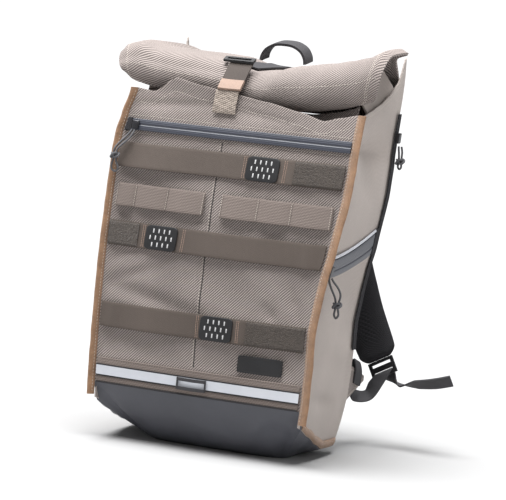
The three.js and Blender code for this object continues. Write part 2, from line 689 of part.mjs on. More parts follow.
// A knot grips both legs of a cord: a ring round the two, along the legs at one point of the route
function knot(route, row, turn) {
  const first = vec(...route[row]);
  const second = vec(...route[route.length - 1 - row]);
  const middle = first.clone().lerp(second, 0.5);
  const apart = first.distanceTo(second);
  const hole = CORD / 2 + 1.5 * GAP;
  const wall = 3;
  const half = KNOT_HEIGHT / 2;
  const profile = [
    [hole, -half * 0.7], [hole + wall * 0.6, -half], [hole + wall, -half * 0.4],
    [hole + wall, half * 0.4], [hole + wall * 0.6, half], [hole, half * 0.7], [hole, -half * 0.7],
  ];
  const ring = new THREE.LatheGeometry(profile.map(([x, y]) => new THREE.Vector2(x, y)), 12);
  ring.rotateX(Math.PI / 2);
  const place = ring.getAttribute('position');
  for (let i = 0; i < place.count; i += 1) {
    const x = place.getX(i);
    place.setX(i, x + Math.sign(Math.abs(x) < 1e-4 ? 0 : x) * apart / 2);
  }
  ring.rotateZ(turn);
  ring.translate(middle.x, middle.y, middle.z);
  return ring;
}

// The side pocket: bright piping over a coated zip that climbs towards the back
const sideZipTop = (share) => SIDE_ZIP_FRONT + SIDE_ZIP_RISE * share ** 1.7;
const sideZipFoot = (share) => sideZipTop(share) - SIDE_ZIP_WIDTH - SIDE_ZIP_SPREAD * share;
const SIDE_ZIP_FROM = 0.03;
const SIDE_ZIP_TO = 0.88;

function addSideZip() {
  const from = SIDE_ZIP_FROM;
  const to = SIDE_ZIP_TO;
  const zip = sidePatch(1, from, to, sideZipFoot, sideZipTop, GAP, ZIP_THICK, 10, 2);
  add('side_zip', zip, 'coatedZip');
  const pipeFoot = (share) => sideZipTop(share) + GAP;
  const pipeTop = (share) => pipeFoot(share) + PIPING;
  const piping = sidePatch(1, from, to, pipeFoot, pipeTop, GAP, PIPING * 0.7, 10, 2);
  add('side_piping', piping, 'reflective');
  const middle = (share) => sideZipFoot(share) + SIDE_ZIP_WIDTH * 0.4;
  const lift = GAP + ZIP_THICK + GAP;
  const sliderFoot = (share) => middle(share) - SIDE_SLIDER / 2;
  const sliderTop = (share) => middle(share) + SIDE_SLIDER / 2;
  const slider = sidePatch(1, from, from + 0.06, sliderFoot, sliderTop, lift, SIDE_SLIDER_THICK, 2);
  add('side_zip_slider', slider, 'metal');
  const stop = sidePatch(1, to + 0.005, to + 0.04, sideZipFoot, pipeTop, GAP, STOP_THICK, 1, 2);
  add('side_zip_stop', stop, 'blackCloth');
  add('side_zip_cord', cordTube(SIDE_CORD_ROUTE), 'webbing');
  add('side_zip_knot', knot(SIDE_CORD_ROUTE, 8, 0), 'webbing');
}

// The back compartment's zip runs up beside the back edge on the right
function addBackZip() {
  const width = BACK_ZIP_WIDTH / PACK_DEPTH_FOOT;
  const from = BACK_ZIP_EDGE - width;
  const patch = (foot, top) => (lift) => (u, v) => (
    sideSkin(1, lerp(from, BACK_ZIP_EDGE, u), lerp(foot, top, v), lift)
  );
  const zip = patch(PANEL_HEIGHT * 0.3, PANEL_HEIGHT * 0.99);
  add('back_zip', sheet(zip(3 * GAP + BACK_ZIP_THICK), zip(3 * GAP), 1, 18), 'blackCloth');
  const place = PANEL_HEIGHT * 0.92;
  const lift = 3 * GAP + BACK_ZIP_THICK + GAP;
  const slider = patch(place - SIDE_SLIDER / 2, place + SIDE_SLIDER / 2);
  add('back_zip_slider', sheet(slider(lift + SLIDER_THICK), slider(lift), 1, 2), 'metal');
  add('back_zip_cord', cordTube(BACK_CORD_ROUTE), 'webbing');
  add('back_zip_knot', knot(BACK_CORD_ROUTE, 5, 0), 'webbing');
}

// The closing strap: a stitched loop on the lip, a leather keeper, the strap and its flat hook
const CLOSURE_WIDTH = 28;
const CLOSURE_X = -16;
const CLOSURE_LOOP_FOOT = 16.6;
const CLOSURE_LOOP_TOP = 9.5;
const HOOK_SETBACK = 0.9;
const HOOK_LENGTH = 37;
const HOOK_DEPTH = 9;
const HOOK_SLOT = 3.6;

function addClosure() {
  const loopLow = PANEL_HEIGHT - CLOSURE_LOOP_FOOT;
  const loopHigh = PANEL_HEIGHT + CLOSURE_LOOP_TOP;
  const left = CLOSURE_X - CLOSURE_WIDTH / 2;
  const right = CLOSURE_X + CLOSURE_WIDTH / 2;
  add('closure_loop', frontPatch(left - 2, right - 2, loopLow, loopHigh, 3 * GAP, 3, 3), 'cream');
  const foot = frontSkin(CLOSURE_X, loopHigh + 3 * GAP, 4 * GAP + 1.5);
  const crest = rollSkin(CLOSURE_X / ROLL_REACH_LEFT, 6 / 20, -ROLL_CLOTH / 2 - 7);
  const wide = vec(1, 0, 0);
  const at = (share) => foot.clone().lerp(crest, share);
  const length = foot.distanceTo(crest);
  const gap = GAP / length;
  const band = (from, to, thick) => ribbon([
    { at: at(from), across: wide }, { at: at((from + to) / 2), across: wide }, { at: at(to), across: wide },
  ], CLOSURE_WIDTH, thick, 3);
  add('closure_band', band(0, 0.33, 3.2), 'tan');
  const strapEnd = 1 - (HOOK_SETBACK + GAP) / length;
  add('closure_strap', band(0.33 + gap, strapEnd, WEBBING), 'elastic');
  const rectangle = (x, y) => [[-x, -y], [x, -y], [x, y], [-x, y]].map(([a, b]) => new THREE.Vector2(a, b));
  const hook = new THREE.Shape(rectangle(HOOK_LENGTH / 2, HOOK_DEPTH / 2));
  hook.holes.push(new THREE.Path(rectangle(HOOK_LENGTH / 2 - 4, HOOK_SLOT / 2).reverse()));
  const plate = new THREE.ExtrudeGeometry(hook, { depth: 3, bevelEnabled: false });
  plate.rotateX(degToRad(25));
  plate.translate(CLOSURE_X - 3, at(1).y + 0.8, at(1).z + 1.4);
  add('closure_hook', plate, 'rubber');
}

// The strap behind the hook lies over the roll and down the back
function closureBackStrap() {
  const lift = ROLL_CLOTH / 2 + 2 * GAP;
  const skin = (out) => (u, v) => {
    const share = lerp(5.6, 0.4, v) / 20;
    const middle = lerp(CLOSURE_X + 4, 2, Math.min(3 * v, 1));
    const x = middle + (u - 0.5) * HANDLE_WIDTH;
    const place = rollSkin(x / ROLL_REACH_RIGHT, share, -out);
    return vec(x, place.y, place.z);
  };
  return sheet(skin(lift + WEBBING), skin(lift), 2, 12);
}

function carryHandle() {
  const deep = backY(ROLL_SEAT) - 12;
  const seat = ROLL_SEAT + ROLL_HEIGHT * 1.2 + ROLL_CLOTH / 2 + GAP;
  const wide = vec(0, 1, LEAN).normalize();
  const half = HANDLE_SPAN / 2;
  const stations = [
    { x: -1, up: 0 }, { x: -0.96, up: 0.3 }, { x: -0.78, up: 0.68 }, { x: -0.42, up: 0.94 }, { x: 0, up: 1 },
    { x: 0.42, up: 0.94 }, { x: 0.78, up: 0.68 }, { x: 0.96, up: 0.3 }, { x: 1, up: 0 },
  ].map(({ x, up }) => ({ at: vec(x * half, deep, seat + up * HANDLE_RISE), across: wide }));
  return ribbon(stations, HANDLE_WIDTH, HANDLE_THICK, 20);
}

// Shoulder pads leave the back panel's top, bow out behind it and end above the lower corners
const PAD_ROUTE = [
  { across: 0.335, up: 0.94, out: 0 }, { across: 0.345, up: 0.92, out: 0.24 },
  { across: 0.36, up: 0.88, out: 0.42 }, { across: 0.41, up: 0.785, out: 0.6 },
  { across: 0.49, up: 0.66, out: 0.76 }, { across: 0.61, up: 0.53, out: 0.88 },
  { across: 0.72, up: 0.45, out: 0.94 }, { across: 0.83, up: 0.38, out: 0.98 },
  { across: 0.97, up: 0.29, out: 1 }, { across: 1.04, up: 0.25, out: 1 },
];
const PAD_BOW = 76;

function padPlace({ across, up, out }, side) {
  const z = up * PANEL_HEIGHT;
  const y = backY(z) + GAP + PAD_THICK / 2 + out * PAD_BOW;
  return vec(side * across * halfWidth(z), y, z);
}

// The pad's middle line, with the directions across it and out of it
function padFrame(side, t) {
  const places = PAD_ROUTE.map((row) => padPlace(row, side));
  const curve = new THREE.CatmullRomCurve3(places, false, 'centripetal');
  const tangent = curve.getTangent(t);
  const wide = vec(0, 1, 0).cross(tangent).normalize();
  return { at: curve.getPoint(t), tangent, wide, out: tangent.clone().cross(wide).normalize() };
}

function shoulderPad(side) {
  const section = (t) => {
    const { at, wide, out } = padFrame(side, t);
    const half = lerp(PAD_WIDTH, PAD_END_WIDTH, t ** 2) / 2 * (t > 0.99 ? 0.62 : 1);
    const thick = PAD_THICK / 2;
    return [[-1, -0.5], [-0.86, -1], [0.86, -1], [1, -0.5], [1, 0.5], [0.86, 1], [-0.86, 1], [-1, 0.5]]
      .map(([a, b]) => at.clone().addScaledVector(wide, a * half).addScaledVector(out, b * thick));
  };
  return loft(section, 14);
}

// The wing is a doubled triangle of cloth at the lower back corner that holds the webbing
const wingX = (side) => side * (halfWidth(WING_FOOT) - WING_THICK);
const wingTip = (side) => vec(wingX(side), backY(WING_FOOT) + WING_REACH, WING_FOOT + WING_HEIGHT * 0.5);

function wingTab(side) {
  const top = WING_FOOT + WING_HEIGHT;
  const root = (z) => new THREE.Vector2(backY(z) + 2 * GAP, z);
  const tip = wingTip(side);
  const shape = new THREE.Shape([root(WING_FOOT), new THREE.Vector2(tip.y, tip.z - 3),
    new THREE.Vector2(tip.y, tip.z + 3), root(top)]);
  const plate = new THREE.ExtrudeGeometry(shape, { depth: WING_THICK, bevelEnabled: false });
  plate.rotateY(Math.PI / 2);
  plate.rotateX(Math.PI / 2);
  plate.translate(wingX(side) - WING_THICK / 2, 0, 0);
  return plate;
}

// The ladder lock sits at the pad's end, and the webbing turns round its lower bar
const LOCK_HEIGHT = 20;
const LOCK_THICK = 3.5;

function lockPlace(side) {
  const { at, tangent } = padFrame(side, 1);
  return at.addScaledVector(tangent, LOCK_HEIGHT / 2 + GAP);
}

function ladderLock(side) {
  const wide = LOWER_WEBBING / 2 + 5;
  const high = LOCK_HEIGHT / 2;
  const rim = 3.5;
  const rectangle = (left, right, low, top) => [
    new THREE.Vector2(left, low), new THREE.Vector2(right, low),
    new THREE.Vector2(right, top), new THREE.Vector2(left, top),
  ];
  const shape = new THREE.Shape(rectangle(-wide, wide, -high, high));
  const slot = (low, top) => new THREE.Path(rectangle(rim - wide, wide - rim, low, top).reverse());
  shape.holes.push(slot(3, high - 3.4), slot(3.4 - high, -3));
  const plate = new THREE.ExtrudeGeometry(shape, { depth: LOCK_THICK, bevelEnabled: false });
  plate.translate(0, 0, -LOCK_THICK / 2);
  const frame = padFrame(side, 1);
  const turn = new THREE.Matrix4().makeBasis(frame.wide, frame.tangent.negate(), frame.out);
  plate.applyMatrix4(turn.setPosition(lockPlace(side)));
  return plate;
}

// The webbing folds over the wing's upper edge, sweeps round behind it and up to the lock
const WEBBING_SWEEP = [
  { out: 2.9, back: 0.52, up: 0.4, wide: [0, 0.96, -0.28] },
  { out: 3.4, back: 0.55, up: 0.8, wide: [0, 0.95, -0.31] },
  { out: -1, back: 0.58, up: 1.06, wide: [0, 0.95, -0.31] },
  { out: -5.6, back: 0.62, up: 0.74, wide: [0, 0.96, -0.24] },
  { out: -7, back: 0.7, up: 0.3, wide: [-0.1, 0.9, 0.1] },
  { out: -7, back: 0.86, up: 0.04, wide: [-0.3, 0.75, 0.5] },
];

function lowerWebbing(side) {
  const tip = wingTip(side);
  const lock = lockPlace(side);
  const dir = (x, y, z) => vec(side * x, y, z);
  const fold = WEBBING_SWEEP.map(({ out, back, up, wide }) => ({
    at: vec(tip.x + side * out, backY(WING_FOOT) + back * WING_REACH, WING_FOOT + up * WING_HEIGHT),
    across: dir(...wide),
  }));
  const past = (x, y, z, across) => ({ at: lock.clone().add(dir(x, y, z)), across: dir(...across) });
  const frame = padFrame(side, 1);
  const through = (down, out) => ({
    at: lock.clone().addScaledVector(frame.tangent, down).addScaledVector(frame.out, out),
    across: frame.wide.clone().multiplyScalar(side),
  });
  const rise = [
    past(-10, -15, -32, [-0.6, 0.7, 0.3]), past(-3, -10, -17, [-0.88, 0.35, -0.1]),
    through(6.4, -5), through(4.8, 0), through(6.4, 5),
  ];
  const tail = side > 0
    ? [
      past(9, 6, -13, [-0.7, 0.5, -0.1]), past(20, 1, -17, [-0.5, 0.8, 0.1]),
      past(44, 0, -14, [0, 0.85, -0.5]), past(66, 0, -10, [0, 0.8, -0.6]),
      past(86, 0, -4, [0, 0.78, -0.62]),
    ]
    : [
      past(6, 8, -18, [-0.9, 0.2, -0.3]), past(7, 8, -42, [-1, 0.1, 0]), past(6, 4, -76, [-1, 0.1, 0]),
    ];
  return ribbon([...fold, ...rise, ...tail], LOWER_WEBBING, WEBBING, 36);
}

add('front_panel', frontPanel(), 'twill');
add('side_panel_right', sidePanel(1), 'gusset');
add('side_panel_left', sidePanel(-1), 'gusset');
add('back_panel', backPanel(), 'blackCloth');
add('boot', boot(), 'tarpaulin');
add('roll_top', rollTop(), 'twill');
add('throat_panel', throatPanel(), 'twill');
add('gusset_right', gusset(1), 'gusset');
add('gusset_left', gusset(-1), 'gusset');
add('binding_right', seamBinding(1), 'suede');
add('binding_left', seamBinding(-1), 'suede');
add('boot_binding_right', bootBinding(1), 'suede');
add('boot_binding_left', bootBinding(-1), 'suede');
addStraps();
LOOP_ROWS.forEach((row) => add(row.name, loopRow(row), 'ribbon'));
add('label_patch', labelPatch(), 'rubber');
addHem();
addFrontZip();
addSideZip();
addBackZip();
addClosure();
add('closure_back_strap', closureBackStrap(), 'webbing');
add('carry_handle', carryHandle(), 'webbing');
add('shoulder_pad_right', shoulderPad(1), 'blackCloth');
add('shoulder_pad_left', shoulderPad(-1), 'blackCloth');
add('wing_tab_right', wingTab(1), 'twill');
add('wing_tab_left', wingTab(-1), 'twill');
add('ladder_lock_right', ladderLock(1), 'rubber');
add('ladder_lock_left', ladderLock(-1), 'rubber');
add('lower_webbing_right', lowerWebbing(1), 'webbing');
add('lower_webbing_left', lowerWebbing(-1), 'webbing');

export default pack;
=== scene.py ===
"""A roll-top messenger backpack of sewn twill, standing on its coated bottom in a plain studio."""

from __future__ import annotations

import logging
import math
from dataclasses import dataclass
from enum import Enum
from typing import Callable, Sequence

import bpy
import numpy as np
from mathutils import Matrix, Vector, noise

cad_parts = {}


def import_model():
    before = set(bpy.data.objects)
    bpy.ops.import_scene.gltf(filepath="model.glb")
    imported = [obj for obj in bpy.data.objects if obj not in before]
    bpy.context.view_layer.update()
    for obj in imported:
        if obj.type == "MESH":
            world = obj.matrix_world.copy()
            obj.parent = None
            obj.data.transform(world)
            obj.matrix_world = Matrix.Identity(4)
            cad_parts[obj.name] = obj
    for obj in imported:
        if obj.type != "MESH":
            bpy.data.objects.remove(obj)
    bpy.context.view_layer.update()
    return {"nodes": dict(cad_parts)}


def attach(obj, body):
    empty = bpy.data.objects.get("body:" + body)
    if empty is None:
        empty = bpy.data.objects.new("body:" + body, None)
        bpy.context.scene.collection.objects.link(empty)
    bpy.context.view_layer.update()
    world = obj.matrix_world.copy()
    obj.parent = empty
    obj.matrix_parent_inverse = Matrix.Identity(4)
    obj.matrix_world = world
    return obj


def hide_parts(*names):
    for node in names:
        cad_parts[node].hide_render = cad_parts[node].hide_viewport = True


LOG = logging.getLogger("backpack")
MM = 0.001
BODY = "root"
OPEN = 999.0  # a limit far beyond the bag, for what runs from binding to binding
WELD = 0.02  # how near two points are made one
Piece = bpy.types.Object
Socket = bpy.types.NodeSocket
Skin = Callable[[float, float, float], Vector]
Rise = Callable[[float, float], float]
Row = dict[str, float]


class Side(Enum):
    """The two sides of the bag, as the viewer of its front sees them."""

    LEFT = -1
    RIGHT = 1

    @property
    def word(self) -> str:
        """The side's name in the frame's nodes."""
        return self.name.lower()


# Shape


def lerp(a: float, b: float, share: float) -> float:
    """The value between a and b at a share."""
    return a + (b - a) * share


def clamp(value: float, low: float, high: float) -> float:
    """The value kept between two limits."""
    return max(low, min(high, value))


def bump(value: float) -> float:
    """A smooth hill: 1 at 0, and next to nothing beyond 2."""
    return math.exp(-value * value)


def rows(columns: str, *values: Sequence[float]) -> tuple[Row, ...]:
    """The rows of a table, from its columns' names and the values of each row.

    Args:
        columns: The names, with spaces between them.
        values: The values of each row, in the order of the names.

    Returns:
        The rows.
    """
    return tuple(dict(zip(columns.split(), row)) for row in values)


def read(table: Sequence[Row], column: str, at: float) -> float:
    """Reads a table between its rows, with a smooth step from row to row.

    Args:
        table: Rows that each hold their place under "at".
        column: The name of the column to read.
        at: The place to read it at.

    Returns:
        The value there, held beyond the first and the last row.
    """
    if at <= table[0]["at"]:
        return table[0][column]
    for row, following in zip(table, table[1:]):
        if at <= following["at"]:
            share = (at - row["at"]) / (following["at"] - row["at"])
            eased = share * share * (3 - 2 * share)
            return lerp(row[column], following[column], lerp(share, eased, 0.5))
    return table[-1][column]


class Spline:
    """A smooth line through points, the same as the one that the frame's ribbons follow."""

    def __init__(self, points: Sequence[Vector]) -> None:
        """Keeps the points that the line goes through."""
        self.points = [Vector(point) for point in points]

    def _span(self, share: float) -> tuple[list[Vector], float]:
        """The four points around a place, and the share between the middle two.

        Args:
            share: The share of the way, from 0 to 1.

        Returns:
            The four points and the share.
        """
        last = len(self.points) - 1
        at = clamp(share, 0, 1) * last
        index = min(int(at), last - 1)
        before = self.points[index - 1] if index else 2 * self.points[0] - self.points[1]
        beyond = self.points[index + 2] if index + 2 <= last else 2 * self.points[-1] - self.points[-2]
        return [before, *self.points[index:index + 2], beyond], at - index

    def point(self, share: float) -> Vector:
        """The point at a share of the way along.

        Args:
            share: The share of the way, from 0 to 1.

        Returns:
            The point.
        """
        (p0, p1, p2, p3), t = self._span(share)
        d0, d1, d2 = [max((b - a).length ** 0.5, 1e-4) for a, b in ((p0, p1), (p1, p2), (p2, p3))]
        start = ((p1 - p0) / d0 - (p2 - p0) / (d0 + d1) + (p2 - p1) / d1) * d1
        end = ((p2 - p1) / d1 - (p3 - p1) / (d1 + d2) + (p3 - p2) / d2) * d1
        square = t * t
        cube = square * t
        return (p1 * (2 * cube - 3 * square + 1) + p2 * (3 * square - 2 * cube)
                + start * (cube - 2 * square + t) + end * (cube - square))

    def tangent(self, share: float) -> Vector:
        """The direction of the line at a share of the way along.

        Args:
            share: The share of the way, from 0 to 1.

        Returns:
            The direction, of length 1.
        """
        step = 1e-3
        low, high = max(share - step, 0), min(share + step, 1)
        return (self.point(high) - self.point(low)).normalized()

    def length(self, steps: int = 80) -> float:
        """The length of the line."""
        places = [self.point(i / steps) for i in range(steps + 1)]
        return sum((b - a).length for a, b in zip(places, places[1:]))


@dataclass(frozen=True)
class Crease:
    """A fold in cloth: it runs between two places, and goes in by its depth."""

    start: tuple[float, float]
    end: tuple[float, float]
    width: float
    depth: float

    def at(self, x: float, z: float) -> float:
        """How far the cloth goes in at a place.

        Args:
            x: The place across.
            z: The height.

        Returns:
            The depth there.
        """
        (x0, z0), (x1, z1) = self.start, self.end
        run = (x1 - x0, z1 - z0)
        square = run[0] ** 2 + run[1] ** 2
        share = ((x - x0) * run[0] + (z - z0) * run[1]) / square
        held = clamp(share, 0, 1)
        off = math.hypot(x - x0 - held * run[0], z - z0 - held * run[1])
        fade = 1 - 0.55 * abs(2 * held - 1)
        return self.depth * fade * bump(off / self.width)


FRONT_CREASES = (
    Crease((-129, 176), (-5, 154), 8.5, 4.2),
    Crease((-128, 192), (-70, 213), 9, -1.9),
    Crease((-122, 180), (-60, 202), 6, 1.7),
    Crease((-126, 205), (-96, 216), 5, 1.5),
    Crease((95, 202), (113, 158), 7, 3.4),
    Crease((72, 172), (86, 157), 6, 2.6),
    Crease((60, 205), (84, 164), 12, -2.0),
    Crease((-10, 200), (60, 168), 22, 2.6),
    Crease((-134, 262), (-110, 248), 6, 2.6),
    Crease((-44, 260), (0, 249), 9, 2.2),
    Crease((20, 258), (96, 246), 8, 1.8),
    Crease((-144, 378), (-30, 386), 5, 2.2),
    Crease((-30, 386), (62, 375), 5, 1.8),
    Crease((96, 122), (112, 96), 8, 2.2),
    Crease((-110, 118), (-40, 100), 14, 1.6),
    Crease((-128, 304), (-92, 296), 8, 2.4),
    Crease((84, 300), (120, 292), 8, 1.8),
)

SIDE_CREASES = (
    Crease((0.1, 357), (0.8, 346), 8, 4.5),
    Crease((0.12, 120), (0.92, 96), 16, 1.6),
    Crease((0.1, 76), (0.7, 58), 9, 1.8),
    Crease((0.2, 330), (0.7, 300), 18, 1.5),
    Crease((0.05, 200), (0.5, 150), 20, -1.6),
    Crease((0.55, 210), (0.95, 150), 18, 1.4),
)

LIP = rows(
    "at up", (-1, 1.006), (-0.84, 1.0), (-0.64, 1.046), (-0.38, 1.03), (-0.12, 1.018), (0.22, 1.002),
    (0.52, 0.984), (0.72, 0.966), (0.86, 0.98), (1, 0.992),
)

SEAM_SWAY = rows(
    "at left right", (0.17, 0, 0), (0.28, 0, -0.017), (0.38, 0, -0.046), (0.46, 0, -0.038),
    (0.53, 0, -0.025), (0.6, 0, 0), (0.75, 0, 0.026), (0.83, 0, 0.02), (0.87, -0.005, 0.01),
    (0.93, -0.035, 0.003), (1, -0.085, 0),
)

SIDE_EDGES = rows(
    "at low high", (0, 0.114, 0.972), (0.27, 0.076, 1.0), (0.47, 0.048, 1.018), (0.67, 0.028, 1.044),
    (0.85, 0.026, 1.078), (1, 0.026, 1.155),
)

ROLL_SECTION = rows(
    "depth high follow sag reach", (0.985, -0.14, 0, 0, 0), (0.985, 0.6, 0.1, 0, 0),
    (0.92, 0.92, 0.3, 0, 0), (0.78, 1.02, 0.72, 0, 0.12), (0.59, 1.02, 0.95, 0, 0.92),
    (0.34, 0.98, 1, 0, 1), (0.15, 0.9, 0.95, 0.05, 0.86), (0.03, 0.64, 0.7, 0.2, 0.74),
    (0, 0.33, 0.35, 0.6, 0.64), (0.03, 0.08, 0.1, 0.95, 0.5), (0.13, 0, 0, 1, -0.8), (0.28, 0, 0, 1, -1),
    (0.44, 0.08, 0.05, 0.9, -1), (0.57, 0.3, 0.2, 0.7, -1), (0.6, 0.57, 0.45, 0.4, -1),
    (0.5, 0.76, 0.6, 0.2, -1), (0.35, 0.79, 0.6, 0.2, -1), (0.21, 0.67, 0.5, 0.3, -1),
    (0.17, 0.43, 0.3, 0.6, -1), (0.24, 0.27, 0.2, 0.7, -1), (0.37, 0.26, 0.2, 0.7, -1),
)

ROLL_ENDS = rows(
    "at crest foot", (-1, 0.16, 0.55), (-0.95, 0.38, 0.35), (-0.85, 0.5, 0.27), (-0.72, 0.34, 0.22),
    (-0.5, 0.31, 0.12), (-0.25, 0.26, 0.04), (0, 0, 0), (0.1, -0.02, 0), (0.25, 0.17, 0.01),
    (0.48, 0.33, 0.03), (0.62, 0.45, 0.06), (0.8, 0.62, 0.16), (0.95, 0.9, 0.3), (1, 0.8, 0.38),
)

PAD_ROUTE = (
    (0.335, 0.94, 0), (0.345, 0.92, 0.24), (0.36, 0.88, 0.42), (0.41, 0.785, 0.6), (0.49, 0.66, 0.76),
    (0.61, 0.53, 0.88), (0.72, 0.45, 0.94), (0.83, 0.38, 0.98), (0.97, 0.29, 1), (1.04, 0.25, 1),
)


@dataclass(frozen=True)
class BagForm:
    """The bag's sizes in millimetres and its skins, which every sewn piece lies on."""

    gap: float = 0.4
    fabric: float = 2
    seam: float = 3
    panel_height: float = 395
    width_foot: float = 247
    width_top: float = 284
    depth_foot: float = 141
    depth_top: float = 137
    front_foot: float = -98
    lean: float = 0.165
    belly: float = 14
    crown: float = 5
    back_top: float = 380
    back_pad: float = 10
    curl: float = 0.0035
    tuck: float = 24
    tuck_height: float = 75
    fold: float = 9
    fold_height: float = 0.905
    fold_reach: float = 24
    tarp_top: float = 63
    tarp: float = 2.2
    back_rim: float = 12
    base_width: float = 168
    base_depth: float = 76
    base_back_inset: float = 3
    base_shift: float = 11
    roll_seat: float = 387
    roll_height: float = 42
    roll_depth: float = 122
    roll_cloth: float = 3
    roll_left: float = 178
    roll_right: float = 165
    roll_core: float = 108

    def front_y(self, z: float) -> float:
        """The front's place at a height."""
        share = clamp(z / self.panel_height, 0, 1)
        return self.front_foot + self.lean * z - self.belly * math.sin(math.pi * share)

    def back_y(self, z: float) -> float:
        """The back's place at a height.

        Args:
            z: The height.

        Returns:
            The place from front to back.
        """
        above = max(z - self.panel_height, 0)
        under = max(1 - z / self.tuck_height, 0)
        depth = lerp(self.depth_foot, self.depth_top, clamp(z / self.panel_height, 0, 1))
        return self.front_foot + depth + self.lean * z - self.curl * above ** 2 - self.tuck * under ** 2

    def half_width(self, z: float, side: float = 1) -> float:
        """Half the bag's width at a height, on one side.

        Args:
            z: The height.
            side: Below 0 for the left side.

        Returns:
            The half width.
        """
        height = z / self.panel_height
        sway = read(SEAM_SWAY, "left" if side < 0 else "right", height)
        return lerp(self.width_foot, self.width_top, height) / 2 * (1 + sway)

    def inner_half(self, z: float, side: float = 1) -> float:
        """Half the room between the side panels."""
        return self.half_width(z, side) - self.fabric - self.gap

    def front(self, x: float, z: float, lift: float) -> Vector:
        """A place on the front's smooth skin, at a lift from it.

        Args:
            x: The place across.
            z: The height.
            lift: How far out from the skin.

        Returns:
            The place in millimetres.
        """
        share = clamp(x / self.half_width(z, x), -1, 1)
        height = clamp(z / self.panel_height, 0, 1)
        crown = self.crown * (1 - share * share) * math.sin(math.pi * height)
        return Vector((x, self.front_y(z) - crown - lift, z))

    def front_dip(self, x: float, z: float) -> float:
        """How far the front's cloth sinks between its straps, folds and seams.

        Args:
            x: The place across.
            z: The height.

        Returns:
            The depth.
        """
        edge = clamp((self.half_width(z, x) - abs(x)) / 9, 0, 1)
        low = clamp((z - self.tarp_top - 26) / 16, 0, 1)
        sunk = sum(crease.at(x, z) for crease in FRONT_CREASES)
        slack = 0.9 + noise.noise(Vector((x / 46, z / 38, 3.1))) * 1.5
        return max(sunk + slack, 0) * edge * low

    def side_dent(self, share: float, z: float) -> float:
        """The large fold across the upper side panel.

        Args:
            share: The share of the way, from 0 to 1.
            z: The height.

        Returns:
            The depth.
        """
        line = (self.fold_height - 0.04 * share) * self.panel_height
        across = math.sin(math.pi * clamp(share, 0, 1)) ** 2
        return self.fold * bump((z - line) / self.fold_reach) * across

    def side(self, side: Side, share: float, z: float, lift: float) -> Vector:
        """A place on a side panel's skin, at a share of the depth from the front seam.

        Args:
            side: The side of the bag.
            share: The share of the way, from 0 to 1.
            z: The height.
            lift: How far out from the skin.

        Returns:
            The place in millimetres.
        """
        y = lerp(self.front_y(z) + self.seam, self.back_y(z), share)
        out = self.half_width(z, side.value) - self.side_dent(share, z) + lift
        return Vector((side.value * out, y, z))

    def side_dip(self, share: float, z: float) -> float:
        """How far a side panel's cloth sinks between its seams.

        Args:
            share: The share of the way, from 0 to 1.
            z: The height.

        Returns:
            The depth.
        """
        edge = clamp(min(share, 1 - share) / 0.09, 0, 1)
        scaled = [Crease((c.start[0] * 150, c.start[1]), (c.end[0] * 150, c.end[1]), c.width, c.depth)
                  for c in SIDE_CREASES]
        sunk = sum(crease.at(share * 150, z) for crease in scaled)
        slack = 0.8 + noise.noise(Vector((share * 2.6, z / 60, 8.4))) * 1.3
        return max(sunk + slack, 0) * edge

    def side_low(self, share: float) -> float:
        """The side panel's lower edge."""
        return self.panel_height * read(SIDE_EDGES, "low", share)

    def side_high(self, share: float) -> float:
        """The side panel's upper edge."""
        return self.panel_height * read(SIDE_EDGES, "high", share)

    def lip(self, share: float) -> float:
        """The front panel's upper edge."""
        return self.panel_height * read(LIP, "up", share)

    def roll_row(self, row: int, u: float) -> Vector:
        """One row of the roll's section at a place across.

        Args:
            row: The row's number.
            u: The share across, from -1 to 1.

        Returns:
            The place in millimetres.
        """
        entry = ROLL_SECTION[row]
        body = self.inner_half(self.panel_height, u) - 2 * self.gap
        full = self.roll_left if u < 0 else self.roll_right
        reach = entry["reach"]
        half = lerp(body, self.roll_core, -reach) if reach < 0 else lerp(body, full, reach)
        rise = (entry["high"] + entry["follow"] * read(ROLL_ENDS, "crest", u)
                + entry["sag"] * read(ROLL_ENDS, "foot", u))
        back = self.back_y(self.roll_seat) + 1
        y = back - self.roll_depth * (1 - entry["depth"])
        return Vector((u * half, y, self.roll_seat + self.roll_height * rise))

    def roll(self, u: float, share: float, lift: float) -> Vector:
        """A place on the roll's middle line at u, moved out by a lift.

        Args:
            u: The share across, from -1 to 1.
            share: The share of the way, from 0 to 1.
            lift: How far out from the skin.

        Returns:
            The place in millimetres.
        """
        line = Spline([self.roll_row(row, u) for row in range(len(ROLL_SECTION))])
        tangent = line.tangent(share)
        out = Vector((0, tangent.z, -tangent.y)).normalized()
        return line.point(share) + out * lift

    def pad_place(self, row: int, side: Side, thick: float, bow: float) -> Vector:
        """One place on a shoulder pad's middle line.

        Args:
            row: The row's number.
            side: The side of the bag.
            thick: The thickness.
            bow: How far it bows out.

        Returns:
            The place in millimetres.
        """
        across, up, out = PAD_ROUTE[row]
        z = up * self.panel_height
        y = self.back_y(z) + self.gap + thick / 2 + out * bow
        return Vector((side.value * across * self.half_width(z), y, z))


FORM = BagForm()

# Node building


